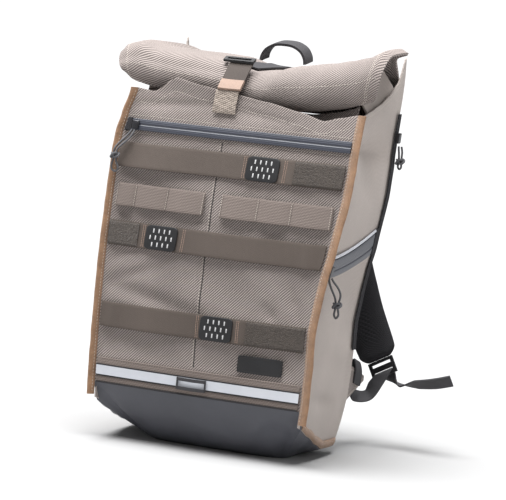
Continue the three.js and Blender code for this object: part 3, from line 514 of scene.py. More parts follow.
class Graph:
    """A short way to write shader nodes."""

    def __init__(self, tree: bpy.types.NodeTree) -> None:
        """Keeps the tree that the nodes go into."""
        self.tree = tree

    def add(self, kind: str, **settings: object) -> bpy.types.Node:
        """Adds a node with its settings.

        Args:
            kind: The node's type.
            settings: Its settings by name.

        Returns:
            The node.
        """
        made = self.tree.nodes.new(kind)
        for name, value in settings.items():
            setattr(made, name, value)
        return made

    def join(self, source: Socket, target: Socket) -> None:
        """Links two sockets."""
        self.tree.links.new(source, target)

    def feed(self, value: object, target: Socket) -> None:
        """Links a socket, or sets a plain value.

        Args:
            value: The socket or value.
            target: The socket that takes it.
        """
        if isinstance(value, Socket):
            self.join(value, target)
        else:
            target.default_value = value

    def math(self, operation: str, first: object, second: object = 0.0) -> Socket:
        """A math node's result.

        Args:
            operation: The node's operation.
            first: The first value.
            second: The second value.

        Returns:
            The result's socket.
        """
        made = self.add("ShaderNodeMath", operation=operation)
        self.feed(first, made.inputs[0])
        self.feed(second, made.inputs[1])
        return made.outputs[0]

    def mix(self, share: object, first: object, second: object, blend: str = "MIX") -> Socket:
        """A colour between two.

        Args:
            share: The share of the second.
            first: The first value.
            second: The second value.
            blend: The kind of mix.

        Returns:
            The result's socket.
        """
        made = self.add("ShaderNodeMix", data_type="RGBA", blend_type=blend)
        self.feed(share, made.inputs[0])
        self.feed(first, made.inputs[6])
        self.feed(second, made.inputs[7])
        return made.outputs[2]

    def noise(self, vector: object, scale: float, detail: float = 2.0, rough: float = 0.5) -> Socket:
        """A noise texture's value.

        Args:
            vector: Where it is read.
            scale: Its scale.
            detail: Its detail.
            rough: Its roughness.

        Returns:
            The value's socket.
        """
        made = self.add("ShaderNodeTexNoise")
        self.feed(vector, made.inputs["Vector"])
        made.inputs["Scale"].default_value = scale
        made.inputs["Detail"].default_value = detail
        made.inputs["Roughness"].default_value = rough
        return made.outputs["Fac"]

    def span(self, value: object, low: float, high: float, to_low: float, to_high: float) -> Socket:
        """A value moved from one range to another, and kept in it.

        Args:
            value: The value.
            low: The range's start.
            high: The range's end.
            to_low: The new range's start.
            to_high: The new range's end.

        Returns:
            The result's socket.
        """
        made = self.add("ShaderNodeMapRange")
        self.feed(value, made.inputs["Value"])
        for name, number in (("From Min", low), ("From Max", high), ("To Min", to_low), ("To Max", to_high)):
            made.inputs[name].default_value = number
        return made.outputs["Result"]


def new_group(name: str, inputs: Sequence[tuple[str, str, object]], outputs: Sequence[str]) -> tuple[
        bpy.types.NodeTree, Graph, bpy.types.Node, bpy.types.Node]:
    """Starts a shader node group.

    Args:
        name: The group's name.
        inputs: Each input's name, socket type and value.
        outputs: The names of its number outputs.

    Returns:
        The group, its graph, its input node and its output node.
    """
    tree = bpy.data.node_groups.new(name, "ShaderNodeTree")
    for label, kind, value in inputs:
        socket = tree.interface.new_socket(label, in_out="INPUT", socket_type=kind)
        if value is not None:
            socket.default_value = value
    for label in outputs:
        tree.interface.new_socket(label, in_out="OUTPUT", socket_type="NodeSocketFloat")
    graph = Graph(tree)
    return tree, graph, graph.add("NodeGroupInput"), graph.add("NodeGroupOutput")


class Effects:
    """The effects that several finishes share, each built once as a node group."""

    def __init__(self) -> None:
        """Builds the groups."""
        self.ribs = self._ribs()
        self.fuzz = self._speckles("fine fibres", "Speckle", 1500, 3, 0.7)
        self.handled = self._speckles("handled patches", "Patch", 18, 4, 0.55)

    @staticmethod
    def _ribs() -> bpy.types.NodeTree:
        """Parallel ribs at a pitch and an angle, broken into yarns along their length.

        Returns:
            The group.
        """
        tree, graph, given, result = new_group("woven ribs", [
            ("Vector", "NodeSocketVector", None), ("Pitch", "NodeSocketFloat", 0.002),
            ("Angle", "NodeSocketFloat", 0.0), ("Yarn", "NodeSocketFloat", 0.002),
            ("Wander", "NodeSocketFloat", 0.3),
        ], ["Rib", "Yarns"])
        parts = graph.add("ShaderNodeSeparateXYZ")
        graph.join(given.outputs["Vector"], parts.inputs[0])
        turn = given.outputs["Angle"]
        cosine, sine = graph.math("COSINE", turn), graph.math("SINE", turn)
        across = graph.math("SUBTRACT", graph.math("MULTIPLY", parts.outputs[0], cosine),
                            graph.math("MULTIPLY", parts.outputs[1], sine))
        along = graph.math("ADD", graph.math("MULTIPLY", parts.outputs[0], sine),
                           graph.math("MULTIPLY", parts.outputs[1], cosine))
        drift = graph.math("SUBTRACT", graph.noise(given.outputs["Vector"], 90, 3), 0.5)
        wander = graph.math("MULTIPLY", drift, given.outputs["Wander"])
        turns = graph.math("ADD", graph.math("DIVIDE", across, given.outputs["Pitch"]), wander)
        rib = graph.math("MULTIPLY_ADD", graph.math("SINE", graph.math("MULTIPLY", turns, 2 * math.pi)), 0.5)
        rib.node.inputs[2].default_value = 0.5
        steps = graph.math("ADD", graph.math("DIVIDE", along, given.outputs["Yarn"]),
                           graph.math("MULTIPLY", graph.math("FLOOR", turns), 0.37))
        wave = graph.math("SINE", graph.math("MULTIPLY", steps, 2 * math.pi))
        yarn = graph.math("MULTIPLY_ADD", wave, 0.5)
        yarn.node.inputs[2].default_value = 0.5
        graph.join(rib, result.inputs["Rib"])
        graph.join(yarn, result.inputs["Yarns"])
        return tree

    @staticmethod
    def _speckles(title: str, label: str, scale: float, detail: float, rough: float) -> bpy.types.NodeTree:
        """A noise in a group, stretched over the range from 0 to 1.

        Args:
            title: The group's name.
            label: Its output's name.
            scale: The noise's scale.
            detail: Its detail.
            rough: Its roughness.

        Returns:
            The group.
        """
        tree, graph, given, result = new_group(title, [
            ("Vector", "NodeSocketVector", None), ("Scale", "NodeSocketFloat", scale),
        ], [label])
        speck = graph.add("ShaderNodeTexNoise")
        speck.inputs["Detail"].default_value = detail
        speck.inputs["Roughness"].default_value = rough
        graph.join(given.outputs["Vector"], speck.inputs["Vector"])
        graph.join(given.outputs["Scale"], speck.inputs["Scale"])
        graph.join(graph.span(speck.outputs["Fac"], 0.3, 0.7, 0, 1), result.inputs[label])
        return tree


def linear(red: float, green: float, blue: float) -> tuple[float, float, float, float]:
    """A colour given as it looks on screen, from 0 to 255, as the shader takes it.

    Args:
        red: Its red.
        green: Its green.
        blue: Its blue.

    Returns:
        The colour with its alpha.
    """
    def channel(value: float) -> float:
        """One part of the colour."""
        share = value / 255
        return share / 12.92 if share <= 0.04045 else ((share + 0.055) / 1.055) ** 2.4
    return channel(red), channel(green), channel(blue), 1.0


@dataclass(frozen=True)
class Finish:
    """What every finish holds: its name, its slot's name, and its main colours."""

    name: str
    slot: str
    light: tuple[float, float, float]
    dark: tuple[float, float, float]
    rough: float = 0.85
    sheen: float = 0.0

    def start(self) -> tuple[bpy.types.Material, Graph, bpy.types.Node]:
        """Makes the material with its shader and plain values.

        Returns:
            The material, its graph and its shader.
        """
        material = bpy.data.materials.new(self.name)
        material.use_nodes = True
        graph = Graph(material.node_tree)
        shader = next(node for node in material.node_tree.nodes if node.type == "BSDF_PRINCIPLED")
        shader.inputs["Roughness"].default_value = self.rough
        if self.sheen:
            shader.inputs["Sheen Weight"].default_value = self.sheen
            shader.inputs["Sheen Roughness"].default_value = 0.5
        return material, graph, shader

    def relief(self, graph: Graph, shader: bpy.types.Node, height: Socket, depth: float,
               strength: float = 1.0) -> None:
        """Puts a height into the shader's normal.

        Args:
            graph: The material's graph.
            shader: Its shader.
            height: The height's socket.
            depth: The depth in millimetres.
            strength: How strong it is.
        """
        raised = graph.add("ShaderNodeBump")
        raised.inputs["Distance"].default_value = depth * MM
        raised.inputs["Strength"].default_value = strength
        graph.join(height, raised.inputs["Height"])
        graph.join(raised.outputs["Normal"], shader.inputs["Normal"])

    def make(self, effects: Effects) -> bpy.types.Material:
        """Makes the material."""
        raise NotImplementedError


@dataclass(frozen=True)
class Woven(Finish):
    """Cloth with ribs that follow its own threads."""

    pitch: float = 1.9
    angle: float = -45
    yarn: float = 1.5
    wander: float = 0.35
    depth: float = 0.35
    patch: float = 0.1
    yarn_share: float = 0.35
    soft: float = 0.5

    def make(self, effects: Effects) -> bpy.types.Material:
        """Makes the material.

        Args:
            effects: The shared effects.

        Returns:
            The material.
        """
        material, graph, shader = self.start()
        place = graph.add("ShaderNodeUVMap", uv_map="Weave").outputs[0]
        ribs = graph.add("ShaderNodeGroup", node_tree=effects.ribs)
        graph.join(place, ribs.inputs["Vector"])
        for label, value in (("Pitch", self.pitch * MM), ("Angle", math.radians(self.angle)),
                             ("Yarn", self.yarn * MM), ("Wander", self.wander)):
            ribs.inputs[label].default_value = value
        fibres = graph.add("ShaderNodeGroup", node_tree=effects.fuzz)
        graph.join(place, fibres.inputs["Vector"])
        patches = graph.add("ShaderNodeGroup", node_tree=effects.handled)
        world = graph.add("ShaderNodeTexCoord").outputs["Object"]
        graph.join(world, patches.inputs["Vector"])
        broken = graph.math("MULTIPLY", ribs.outputs["Yarns"], self.yarn_share)
        raised = graph.span(ribs.outputs["Rib"], 0.5 - self.soft, 0.5 + self.soft, 0, 1)
        weave = graph.math("ADD", graph.math("MULTIPLY", raised, 1 - self.yarn_share), broken)
        tint = graph.math("ADD", graph.math("MULTIPLY", weave, 0.82),
                          graph.math("MULTIPLY", fibres.outputs["Speckle"], 0.18))
        colour = graph.mix(tint, linear(*self.dark), linear(*self.light))
        shade = graph.span(patches.outputs["Patch"], 0, 1, 1 - self.patch, 1 + self.patch)
        tone = graph.add("ShaderNodeCombineColor")
        for index in range(3):
            graph.join(shade, tone.inputs[index])
        graph.join(graph.mix(1.0, colour, tone.outputs[0], "MULTIPLY"), shader.inputs["Base Color"])
        self.relief(graph, shader, weave, self.depth)
        return material


@dataclass(frozen=True)
class Napped(Finish):
    """Leather, suede, pile or coated cloth: a grain with no threads."""

    grain: float = 900
    mottle: float = 60
    depth: float = 0.2
    patchy: float = 0.5
    metallic: float = 0.0
    coat: float = 0.0

    def make(self, effects: Effects) -> bpy.types.Material:
        """Makes the material.

        Args:
            effects: The shared effects.

        Returns:
            The material.
        """
        material, graph, shader = self.start()
        shader.inputs["Metallic"].default_value = self.metallic
        if self.coat:
            shader.inputs["Coat Weight"].default_value = self.coat
            shader.inputs["Coat Roughness"].default_value = 0.25
        place = graph.add("ShaderNodeTexCoord").outputs["Object"]
        fibres = graph.add("ShaderNodeGroup", node_tree=effects.fuzz)
        graph.join(place, fibres.inputs["Vector"])
        fibres.inputs["Scale"].default_value = self.grain
        patches = graph.add("ShaderNodeGroup", node_tree=effects.handled)
        graph.join(place, patches.inputs["Vector"])
        patches.inputs["Scale"].default_value = self.mottle
        tint = graph.math("ADD", graph.math("MULTIPLY", patches.outputs["Patch"], self.patchy),
                          graph.math("MULTIPLY", fibres.outputs["Speckle"], 1 - self.patchy))
        graph.join(graph.mix(tint, linear(*self.dark), linear(*self.light)), shader.inputs["Base Color"])
        graph.join(graph.span(patches.outputs["Patch"], 0, 1, max(self.rough - 0.07, 0.02),
                              min(self.rough + 0.07, 1)), shader.inputs["Roughness"])
        self.relief(graph, shader, fibres.outputs["Speckle"], self.depth)
        return material


FINISHES = {
    "twill": Woven("coarse twill", "twill", (178, 166, 161), (52, 46, 43), pitch=2.4, angle=42, sheen=0.05,
                   wander=0.1, yarn_share=0.2, soft=0.3, depth=0.5),
    "roll twill": Woven("rolled twill", "twill", (178, 166, 161), (56, 50, 47), pitch=2.2, angle=-48,
                        sheen=0.05, wander=0.15, yarn_share=0.2, soft=0.3, depth=0.5),
    "side cloth": Woven("side cloth", "side_cloth", (190, 180, 174), (150, 141, 135), pitch=1.3, angle=-70,
                        yarn=1.1, depth=0.12, patch=0.06, sheen=0.15),
    "suede": Napped("brown suede", "suede", (164, 128, 98), (104, 76, 54), rough=0.95, grain=1400, mottle=90,
                    depth=0.25, sheen=0.4),
    "elastic": Woven("elastic strap", "elastic", (102, 92, 85), (60, 51, 46), pitch=1.1, angle=90, yarn=1.6,
                     wander=0.2, depth=0.18, patch=0.07, yarn_share=0.5),
    "closure elastic": Woven("closure elastic", "elastic", (84, 75, 70), (48, 42, 38), pitch=1.1, angle=90,
                             yarn=1.6, wander=0.2, depth=0.18, patch=0.07, yarn_share=0.5),
    "pile": Napped("loop pile", "pile", (84, 75, 68), (44, 37, 32), rough=1.0, grain=700, mottle=160,
                   depth=0.7, patchy=0.25, sheen=0.3),
    "ribbon": Woven("ribbed tape", "ribbon", (142, 130, 124), (84, 74, 68), pitch=1.7, angle=90, yarn=3.2,
                    wander=0.5, depth=0.25, patch=0.05),
    "rubber": Napped("black rubber", "rubber", (30, 30, 33), (15, 15, 17), rough=0.5, grain=900, mottle=40,
                     depth=0.05),
    "dash": Napped("pale dashes", "rubber", (206, 206, 206), (176, 176, 178), rough=0.6, depth=0.02),
    "reflective": Napped("reflective tape", "reflective", (206, 208, 214), (186, 190, 198), rough=0.35,
                         grain=2600, mottle=30, depth=0.03),
    "dark line": Napped("dark edging", "webbing", (48, 46, 48), (30, 29, 31), rough=0.8),
    "coated zip": Woven("coated zip", "coated_zip", (72, 75, 86), (46, 49, 58), rough=0.42, pitch=2.0,
                        angle=90, yarn=1.4, wander=0.0, depth=0.12, patch=0.05, yarn_share=0.2),
    "tarpaulin": Napped("coated tarpaulin", "tarpaulin", (84, 85, 92), (66, 67, 73), rough=0.5, grain=1100,
                        mottle=14, depth=0.06, patchy=0.7),
    "black cloth": Woven("black cloth", "black_cloth", (52, 51, 55), (22, 21, 24), pitch=2.2, angle=45,
                         yarn=2.2, depth=0.4, patch=0.08, yarn_share=0.6, rough=0.95),
    "webbing": Woven("dark webbing", "webbing", (74, 73, 76), (34, 33, 36), pitch=1.5, angle=0, yarn=2.0,
                     wander=0.15, depth=0.3, patch=0.06),
    "cord": Woven("flecked cord", "webbing", (120, 120, 124), (16, 16, 18), pitch=2.6, angle=35, yarn=1.7,
                  wander=0.3, depth=0.3, patch=0.0, yarn_share=0.8),
    "metal": Napped("dark slider", "metal", (62, 62, 66), (38, 38, 41), rough=0.35, metallic=0.5,
                    depth=0.01),
    "cream": Woven("cream loop", "cream_loop", (182, 170, 160), (104, 92, 82), pitch=2.4, angle=60, yarn=2.6,
                   wander=0.9, depth=0.6, patch=0.05),
    "tan": Napped("tan leather", "tan_band", (162, 138, 124), (132, 108, 94), rough=0.7, grain=1200,
                  mottle=120, depth=0.1),
    "thread": Napped("pale thread", "cream_loop", (222, 214, 204), (190, 180, 170), rough=0.8, depth=0.02),
    # Dark thread for the real stitches; the same dark finish also paints the shade of the groove along the
    # front's middle seam.
    "dark thread": Napped("dark thread", "webbing", (60, 56, 54), (40, 37, 36), rough=0.85, depth=0.02),
}


class Wardrobe:
    """Makes each finish's material when it is first asked for."""

    def __init__(self) -> None:
        """Builds the shared effects."""
        self.effects = Effects()
        self.made: dict[str, bpy.types.Material] = {}

    def get(self, name: str) -> bpy.types.Material:
        """The material of a finish.

        Args:
            name: The name.

        Returns:
            The material.
        """
        if name not in self.made:
            self.made[name] = FINISHES[name].make(self.effects)
        return self.made[name]


# Making pieces


def choose(piece: Piece) -> None:
    """Makes a piece the only selected and active one.

    Args:
        piece: The piece.
    """
    bpy.ops.object.select_all(action="DESELECT")
    piece.select_set(True)
    bpy.context.view_layer.objects.active = piece


def apply_modifiers(piece: Piece) -> None:
    """Applies a piece's modifiers in order.

    Args:
        piece: The piece.
    """
    choose(piece)
    for modifier in list(piece.modifiers):
        bpy.ops.object.modifier_apply(modifier=modifier.name)


def soften(piece: Piece, width: float, segments: int, angle: float) -> None:
    """Adds a rounding of the edges that are sharper than an angle.

    Args:
        piece: The piece.
        width: The rounding's width in millimetres.
        segments: How many faces it has across.
        angle: The angle in degrees.
    """
    edge = piece.modifiers.new("edge", "BEVEL")
    edge.width = width * MM
    edge.segments = segments
    edge.limit_method = "ANGLE"
    edge.angle_limit = math.radians(angle)


@dataclass
class Tailor:
    """Makes, finishes and registers pieces."""

    wardrobe: Wardrobe
    count: int = 0

    def grid(self, name: str, across: int, along: int) -> Piece:
        """Adds a flat grid over the square from -1 to 1.

        Args:
            name: The name.
            across: How many faces it has across.
            along: How many faces it has along.

        Returns:
            The grid.
        """
        bpy.ops.object.select_all(action="DESELECT")
        bpy.ops.mesh.primitive_grid_add(x_subdivisions=across, y_subdivisions=along, size=2, calc_uvs=True)
        piece = bpy.context.object
        piece.name = piece.data.name = name
        return piece

    def lay(self, piece: Piece, skin: Skin, lift: float = 0.0,
            upright: bool = False) -> tuple[float, float]:
        """Moves a flat grid onto a skin and gives it a map in metres.

        Args:
            piece: The grid.
            skin: Gives the place in millimetres for two shares and a lift.
            lift: The lift from the skin.
            upright: Whether the map is the true width and height, so that threads run straight.

        Returns:
            The cloth's flat width and length in millimetres.
        """
        mesh = piece.data
        flat = np.empty(len(mesh.vertices) * 3)
        mesh.vertices.foreach_get("co", flat)
        shares = (flat.reshape(-1, 3)[:, :2] + 1) / 2
        places = np.array([skin(float(u), float(v), lift) for u, v in shares])
        mesh.vertices.foreach_set("co", (places * MM).ravel())
        width, length = self.flat_size(skin)
        uv = mesh.uv_layers[0]
        uv.name = "Weave"
        values = np.empty(len(mesh.loops) * 2)
        uv.data.foreach_get("uv", values)
        corners = np.empty(len(mesh.loops), dtype=int)
        mesh.loops.foreach_get("vertex_index", corners)
        laid = places[corners][:, [0, 2]] if upright else values.reshape(-1, 2) * (width, length)
        uv.data.foreach_set("uv", (laid * MM).ravel())
        mesh.update()
        outward = skin(0.5, 0.5, lift + 1) - skin(0.5, 0.5, lift)
        middle = skin(0.5, 0.5, lift)
        nearest = min(mesh.polygons, key=lambda face: (face.center - middle * MM).length)
        if nearest.normal.dot(outward) < 0:
            mesh.flip_normals()
        return width, length

    @staticmethod
    def flat_size(skin: Skin, steps: int = 16) -> tuple[float, float]:
        """The width and length of a skin, measured along its middle lines.

        Args:
            skin: The skin.
            steps: How many steps it is cut into.

        Returns:
            The width and the length.
        """
        def run(place: Callable[[float], Vector]) -> float:
            """The length of a line through places."""
            points = [place(i / steps) for i in range(steps + 1)]
            return sum((b - a).length for a, b in zip(points, points[1:]))
        return run(lambda t: skin(t, 0.5, 0)), run(lambda t: skin(0.5, t, 0))

    def cloth(self, name: str, finish: str, skin: Skin, across: int, along: int, thick: float, *,
              nodes: Sequence[str] = (), lift: float = 0.0, sheet: str | None = None,
              soft_edge: float = 0.0, smooth: float = 50, upright: bool = False) -> Piece:
        """Makes a sewn sheet on a skin.

        Args:
            name: The piece's name.
            finish: The name of its finish.
            skin: Gives its outer face.
            across: How many faces it has across.
            along: How many faces it has along.
            thick: Its thickness in millimetres, inwards.
            nodes: The frame's nodes that it stands for.
            lift: Its outer face's lift from the skin.
            sheet: Not used.
            soft_edge: The width of a rounded edge.
            smooth: The angle below which faces are shaded as one.
            upright: Whether its threads follow the true width and height.

        Returns:
            The finished piece.
        """
        piece = self.grid(name, across, along)
        width, length = self.lay(piece, skin, lift, upright)
        wall = piece.modifiers.new("wall", "SOLIDIFY")
        wall.thickness = thick * MM
        wall.offset = -1
        wall.use_even_offset = False
        if soft_edge:
            soften(piece, soft_edge, 2, 60)
        apply_modifiers(piece)
        self.finish(piece, finish, nodes, smooth)
        return piece

    def finish(self, piece: Piece, finish: str, nodes: Sequence[str] = (), smooth: float = 50) -> None:
        """Shades, colours and registers a piece.

        Args:
            piece: The piece.
            finish: The name of the finish.
            nodes: The frame's nodes that it stands for.
            smooth: The angle of smooth shading.
        """
        choose(piece)
        bpy.ops.object.shade_smooth_by_angle(angle=math.radians(smooth))
        piece.data.materials.clear()
        piece.data.materials.append(self.wardrobe.get(finish))
        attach(piece, BODY)
        if nodes:
            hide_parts(*nodes)
        self.count += 1
        LOG.info("%s: %d faces", piece.name, len(piece.data.polygons))

    def ribbon(self, name: str, finish: str, stations: Sequence[tuple[Sequence[float], Sequence[float]]],
               width: float, thick: float, steps: int, *, nodes: Sequence[str] = (),
               across: int = 4, crown: float = 0.0, sheet: str | None = None) -> Piece:
        """Makes a strap along stations, each a place and the direction of its width.

        Args:
            name: The name.
            finish: The name of the finish.
            stations: The places with their width's directions.
            width: The width.
            thick: The thickness.
            steps: How many steps it is cut into.
            nodes: The frame's nodes that it stands for.
            across: How many faces it has across.
            crown: How far its middle stands above its edges.
            sheet: Passed on to cloth, which does not use it.

        Returns:
            The finished piece.
        """
        line = Spline([Vector(place) for place, _ in stations])
        wides = [Vector(wide).normalized() for _, wide in stations]
        last = len(wides) - 1

        def skin(u: float, v: float, lift: float) -> Vector:
            """The strap's outer face.

            Args:
                u: The share across.
                v: The share along.
                lift: How far out from the skin.

            Returns:
                The place in millimetres.
            """
            at = clamp(v * last, 0, last - 1e-6)
            index = int(at)
            wide = wides[index].lerp(wides[index + 1], at - index).normalized()
            out = line.tangent(v).cross(wide).normalized()
            off = 2 * u - 1
            return line.point(v) + wide * off * width / 2 + out * (thick / 2 + lift - crown * off * off)

        return self.cloth(name, finish, skin, across, steps, thick, nodes=nodes, sheet=sheet, smooth=40)

    def stitches(self, name: str, places: Sequence[Vector], outs: Sequence[Vector], *,
                 finish: str = "thread", pitch: float = 3.2, length: float = 2.2,
                 width: float = 0.7) -> Piece:
        """Sews a run of stitches along places, each lying on the cloth.

        Args:
            name: The piece's name.
            places: The run's points in millimetres.
            outs: The cloth's outward direction at each point.
            finish: The thread's finish.
            pitch: The distance from stitch to stitch.
            length: Each stitch's length.
            width: Each stitch's width.

        Returns:
            The finished piece.
        """
        bpy.ops.object.select_all(action="DESELECT")
        bpy.ops.mesh.primitive_uv_sphere_add(segments=6, ring_count=4, radius=1)
        piece = bpy.context.object
        piece.name = piece.data.name = name
        bead = piece.data
        shape = np.empty(len(bead.vertices) * 3)
        bead.vertices.foreach_get("co", shape)
        shape = shape.reshape(-1, 3)
        faces = [tuple(face.vertices) for face in bead.polygons]
        steps = [0.0]
        for a, b in zip(places, places[1:]):
            steps.append(steps[-1] + (b - a).length)
        count = max(int(steps[-1] / pitch), 1)
        points: list[np.ndarray] = []
        polygons: list[tuple[int, ...]] = []
        for index in range(count):
            at = (index + 0.5) * steps[-1] / count
            row = min(max(np.searchsorted(steps, at) - 1, 0), len(places) - 2)
            share = (at - steps[row]) / max(steps[row + 1] - steps[row], 1e-6)
            middle = places[row].lerp(places[row + 1], share)
            along = (places[row + 1] - places[row]).normalized()
            out = outs[row].lerp(outs[row + 1], share).normalized()
            side = along.cross(out).normalized()
            axes = np.array([along * length / 2, side * width / 2, out * width * 0.32])
            first = len(points) * len(shape)
            points.append(shape @ axes + np.array(middle + out * width * 0.12))
            polygons += [tuple(first + corner for corner in face) for face in faces]
        bead.clear_geometry()
        bead.from_pydata((np.concatenate(points) * MM).tolist(), [], polygons)
        bead.update()
        self.finish(piece, finish)
        return piece

    def stitch_line(self, name: str, skin: Skin, start: tuple[float, float], end: tuple[float, float],
                    lift: float = 0.0, steps: int = 40, **style: object) -> Piece:
        """Sews a straight run over a skin, between two pairs of shares.

        Args:
            name: The name.
            skin: The skin.
            start: The first pair of shares.
            end: The last pair of shares.
            lift: How far out from the skin.
            steps: How many steps it is cut into.
            style: The stitches' settings.

        Returns:
            The finished piece.
        """
        def place(t: float, out: float) -> Vector:
            """A place of the run."""
            return skin(lerp(start[0], end[0], t), lerp(start[1], end[1], t), lift + out)
        places = [place(i / steps, 0) for i in range(steps + 1)]
        outs = [(place(i / steps, 1) - places[i]).normalized() for i in range(steps + 1)]
        return self.stitches(name, places, outs, **style)

    def block(self, name: str, size: Sequence[float], bevel: float, segments: int = 3,
              cuts: int = 0) -> Piece:
        """Adds a block at the origin with rounded edges, in millimetres, cut into strips for bending.

        Args:
            name: The name.
            size: The size.
            bevel: The width of its rounded edges.
            segments: How many faces a rounded edge has.
            cuts: How often it is cut.

        Returns:
            The block.
        """
        bpy.ops.object.select_all(action="DESELECT")
        bpy.ops.mesh.primitive_cube_add(size=1, scale=[value * MM for value in size])
        piece = bpy.context.object
        piece.name = piece.data.name = name
        bpy.ops.object.transform_apply(location=False, rotation=False, scale=True)
        if cuts:
            bpy.ops.object.mode_set(mode="EDIT")
            bpy.ops.mesh.select_all(action="SELECT")
            bpy.ops.mesh.subdivide(number_cuts=cuts)
            bpy.ops.object.mode_set(mode="OBJECT")
        if bevel:
            soften(piece, bevel, segments, 40)
            apply_modifiers(piece)
        return piece

    @staticmethod
    def wrap(piece: Piece, skin: Skin) -> None:
        """Bends a flat piece, drawn in its XZ plane and facing -Y, over a skin in millimetres.

        Args:
            piece: The piece.
            skin: The skin.
        """
        mesh = piece.data
        flat = np.empty(len(mesh.vertices) * 3)
        mesh.vertices.foreach_get("co", flat)
        bent = [skin(x / MM, z / MM, -y / MM) * MM for x, y, z in flat.reshape(-1, 3)]
        mesh.vertices.foreach_set("co", np.array(bent).ravel())
        mesh.update()

    @staticmethod
    def close_tube(piece: Piece, fill: bool = True) -> None:
        """Welds a grid that is bent into a tube, fills its ends and turns its faces out.

        Args:
            piece: The piece.
            fill: Whether its ends are filled.
        """
        choose(piece)
        bpy.ops.object.mode_set(mode="EDIT")
        bpy.ops.mesh.select_all(action="SELECT")
        bpy.ops.mesh.remove_doubles(threshold=WELD * MM)
        if fill:
            bpy.ops.mesh.select_all(action="DESELECT")
            bpy.ops.mesh.select_non_manifold()
            bpy.ops.mesh.fill_holes(sides=0)
            bpy.ops.mesh.select_all(action="SELECT")
        bpy.ops.mesh.normals_make_consistent(inside=False)
        bpy.ops.object.mode_set(mode="OBJECT")


# Sub-assemblies


@dataclass
class Pull:
    """A cord pull: a loop of cord from a slider through a knot."""

    tailor: Tailor
    name: str
    route: Sequence[tuple[float, float, float]]
    knot_row: int
    diameter: float = 2.4
    knot_cord: float = 1.25
    knot_radius: float = 3.15

    def build(self) -> None:
        """Makes the cord and its knot."""
        data = bpy.data.curves.new(f"{self.name}_pull_cord", "CURVE")
        data.dimensions = "3D"
        data.bevel_depth = self.diameter / 2 * MM
        data.bevel_resolution = 3
        data.use_fill_caps = True
        line = Spline([Vector(point) for point in self.route])
        steps = 4 * (len(self.route) - 1)
        places = [line.point(i / steps) * MM for i in range(steps + 1)]
        spline = data.splines.new("POLY")
        spline.points.add(steps)
        for point, place in zip(spline.points, places):
            point.co = (*place, 1)
        cord = bpy.data.objects.new(data.name, data)
        bpy.context.collection.objects.link(cord)
        data.materials.append(self.tailor.wardrobe.get("cord"))
        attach(cord, BODY)
        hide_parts(f"{self.name}_zip_cord")
        knot = self.knot()
        length = sum((b - a).length for a, b in zip(places, places[1:]))
        tuple(places[0])
        LOG.info("%s: %.3f m of cord", cord.name, length)

    def knot(self) -> Piece:
        """An overhand knot: a short cord wound round both legs.

        Returns:
            The knot.
        """
        first = Vector(self.route[self.knot_row])
        second = Vector(self.route[-1 - self.knot_row])
        middle = (first + second) / 2
        data = bpy.data.curves.new(f"{self.name}_knot_line", "CURVE")
        data.dimensions = "3D"
        data.bevel_depth = self.knot_cord * MM
        data.bevel_resolution = 3
        turns = 3
        steps = 66
        spline = data.splines.new("POLY")
        spline.points.add(steps - 1)
        spline.use_cyclic_u = True
        for index, point in enumerate(spline.points):
            t = 2 * math.pi * index / steps
            radius = self.knot_radius + 0.9 * math.cos(turns * t)
            place = Vector((radius * math.cos(2 * t) * 1.25, radius * math.sin(2 * t),
                            2.5 * math.sin(turns * t) + 0.6 * math.cos(2 * t)))
            point.co = (*((middle + place) * MM), 1)
        knot = bpy.data.objects.new(f"{self.name}_pull_knot", data)
        bpy.context.collection.objects.link(knot)
        choose(knot)
        bpy.ops.object.convert(target="MESH")
        knot = bpy.context.object
        self.tailor.finish(knot, "cord", [f"{self.name}_zip_knot"], 60)
        return knot


FRONT_CORD_ROUTE = (
    (-123.8, -52.5, 350.0), (-125.6, -54.6, 346.0), (-128.8, -57.4, 341.0), (-132.2, -60.2, 336.5),
    (-135.4, -63.0, 332.0), (-137.4, -65.2, 328.0), (-138.0, -66.2, 324.0), (-138.0, -66.4, 320.0),
    (-138.0, -66.4, 316.0), (-138.6, -66.6, 312.0), (-139.4, -66.8, 307.5), (-138.2, -66.8, 303.4),
    (-134.8, -66.8, 301.6), (-131.6, -66.8, 303.4), (-131.4, -66.8, 307.5), (-133.4, -66.6, 312.0),
    (-134.8, -66.4, 316.0), (-134.8, -66.4, 320.0), (-134.8, -66.2, 324.0), (-133.6, -65.2, 328.0),
    (-130.6, -63.0, 332.0), (-126.8, -60.2, 336.5), (-123.4, -57.4, 341.0), (-121.2, -54.6, 346.0),
    (-120.4, -52.5, 350.0),
)
SIDE_CORD_ROUTE = (
    (134.9, -63.4, 211.5), (135.2, -63.1, 208.0), (136.0, -62.2, 204.5), (137.2, -60.9, 200.5),
    (138.6, -59.2, 196.6), (140.0, -57.4, 192.8), (141.3, -56.2, 189.0), (142.0, -55.4, 185.0),
    (142.2, -55.2, 181.0), (142.2, -55.2, 177.0), (141.6, -55.2, 173.5), (141.4, -55.2, 170.0),
    (143.8, -55.2, 166.8), (146.4, -55.2, 170.0), (146.2, -55.2, 173.5), (145.4, -55.2, 177.0),
    (145.4, -55.2, 181.0), (145.8, -55.4, 185.0), (147.2, -56.2, 189.0), (147.9, -57.4, 193.0),
    (147.4, -59.0, 197.0), (145.6, -60.6, 201.0), (142.6, -61.9, 205.0), (139.8, -62.9, 208.4),
    (138.3, -63.4, 211.5),
)
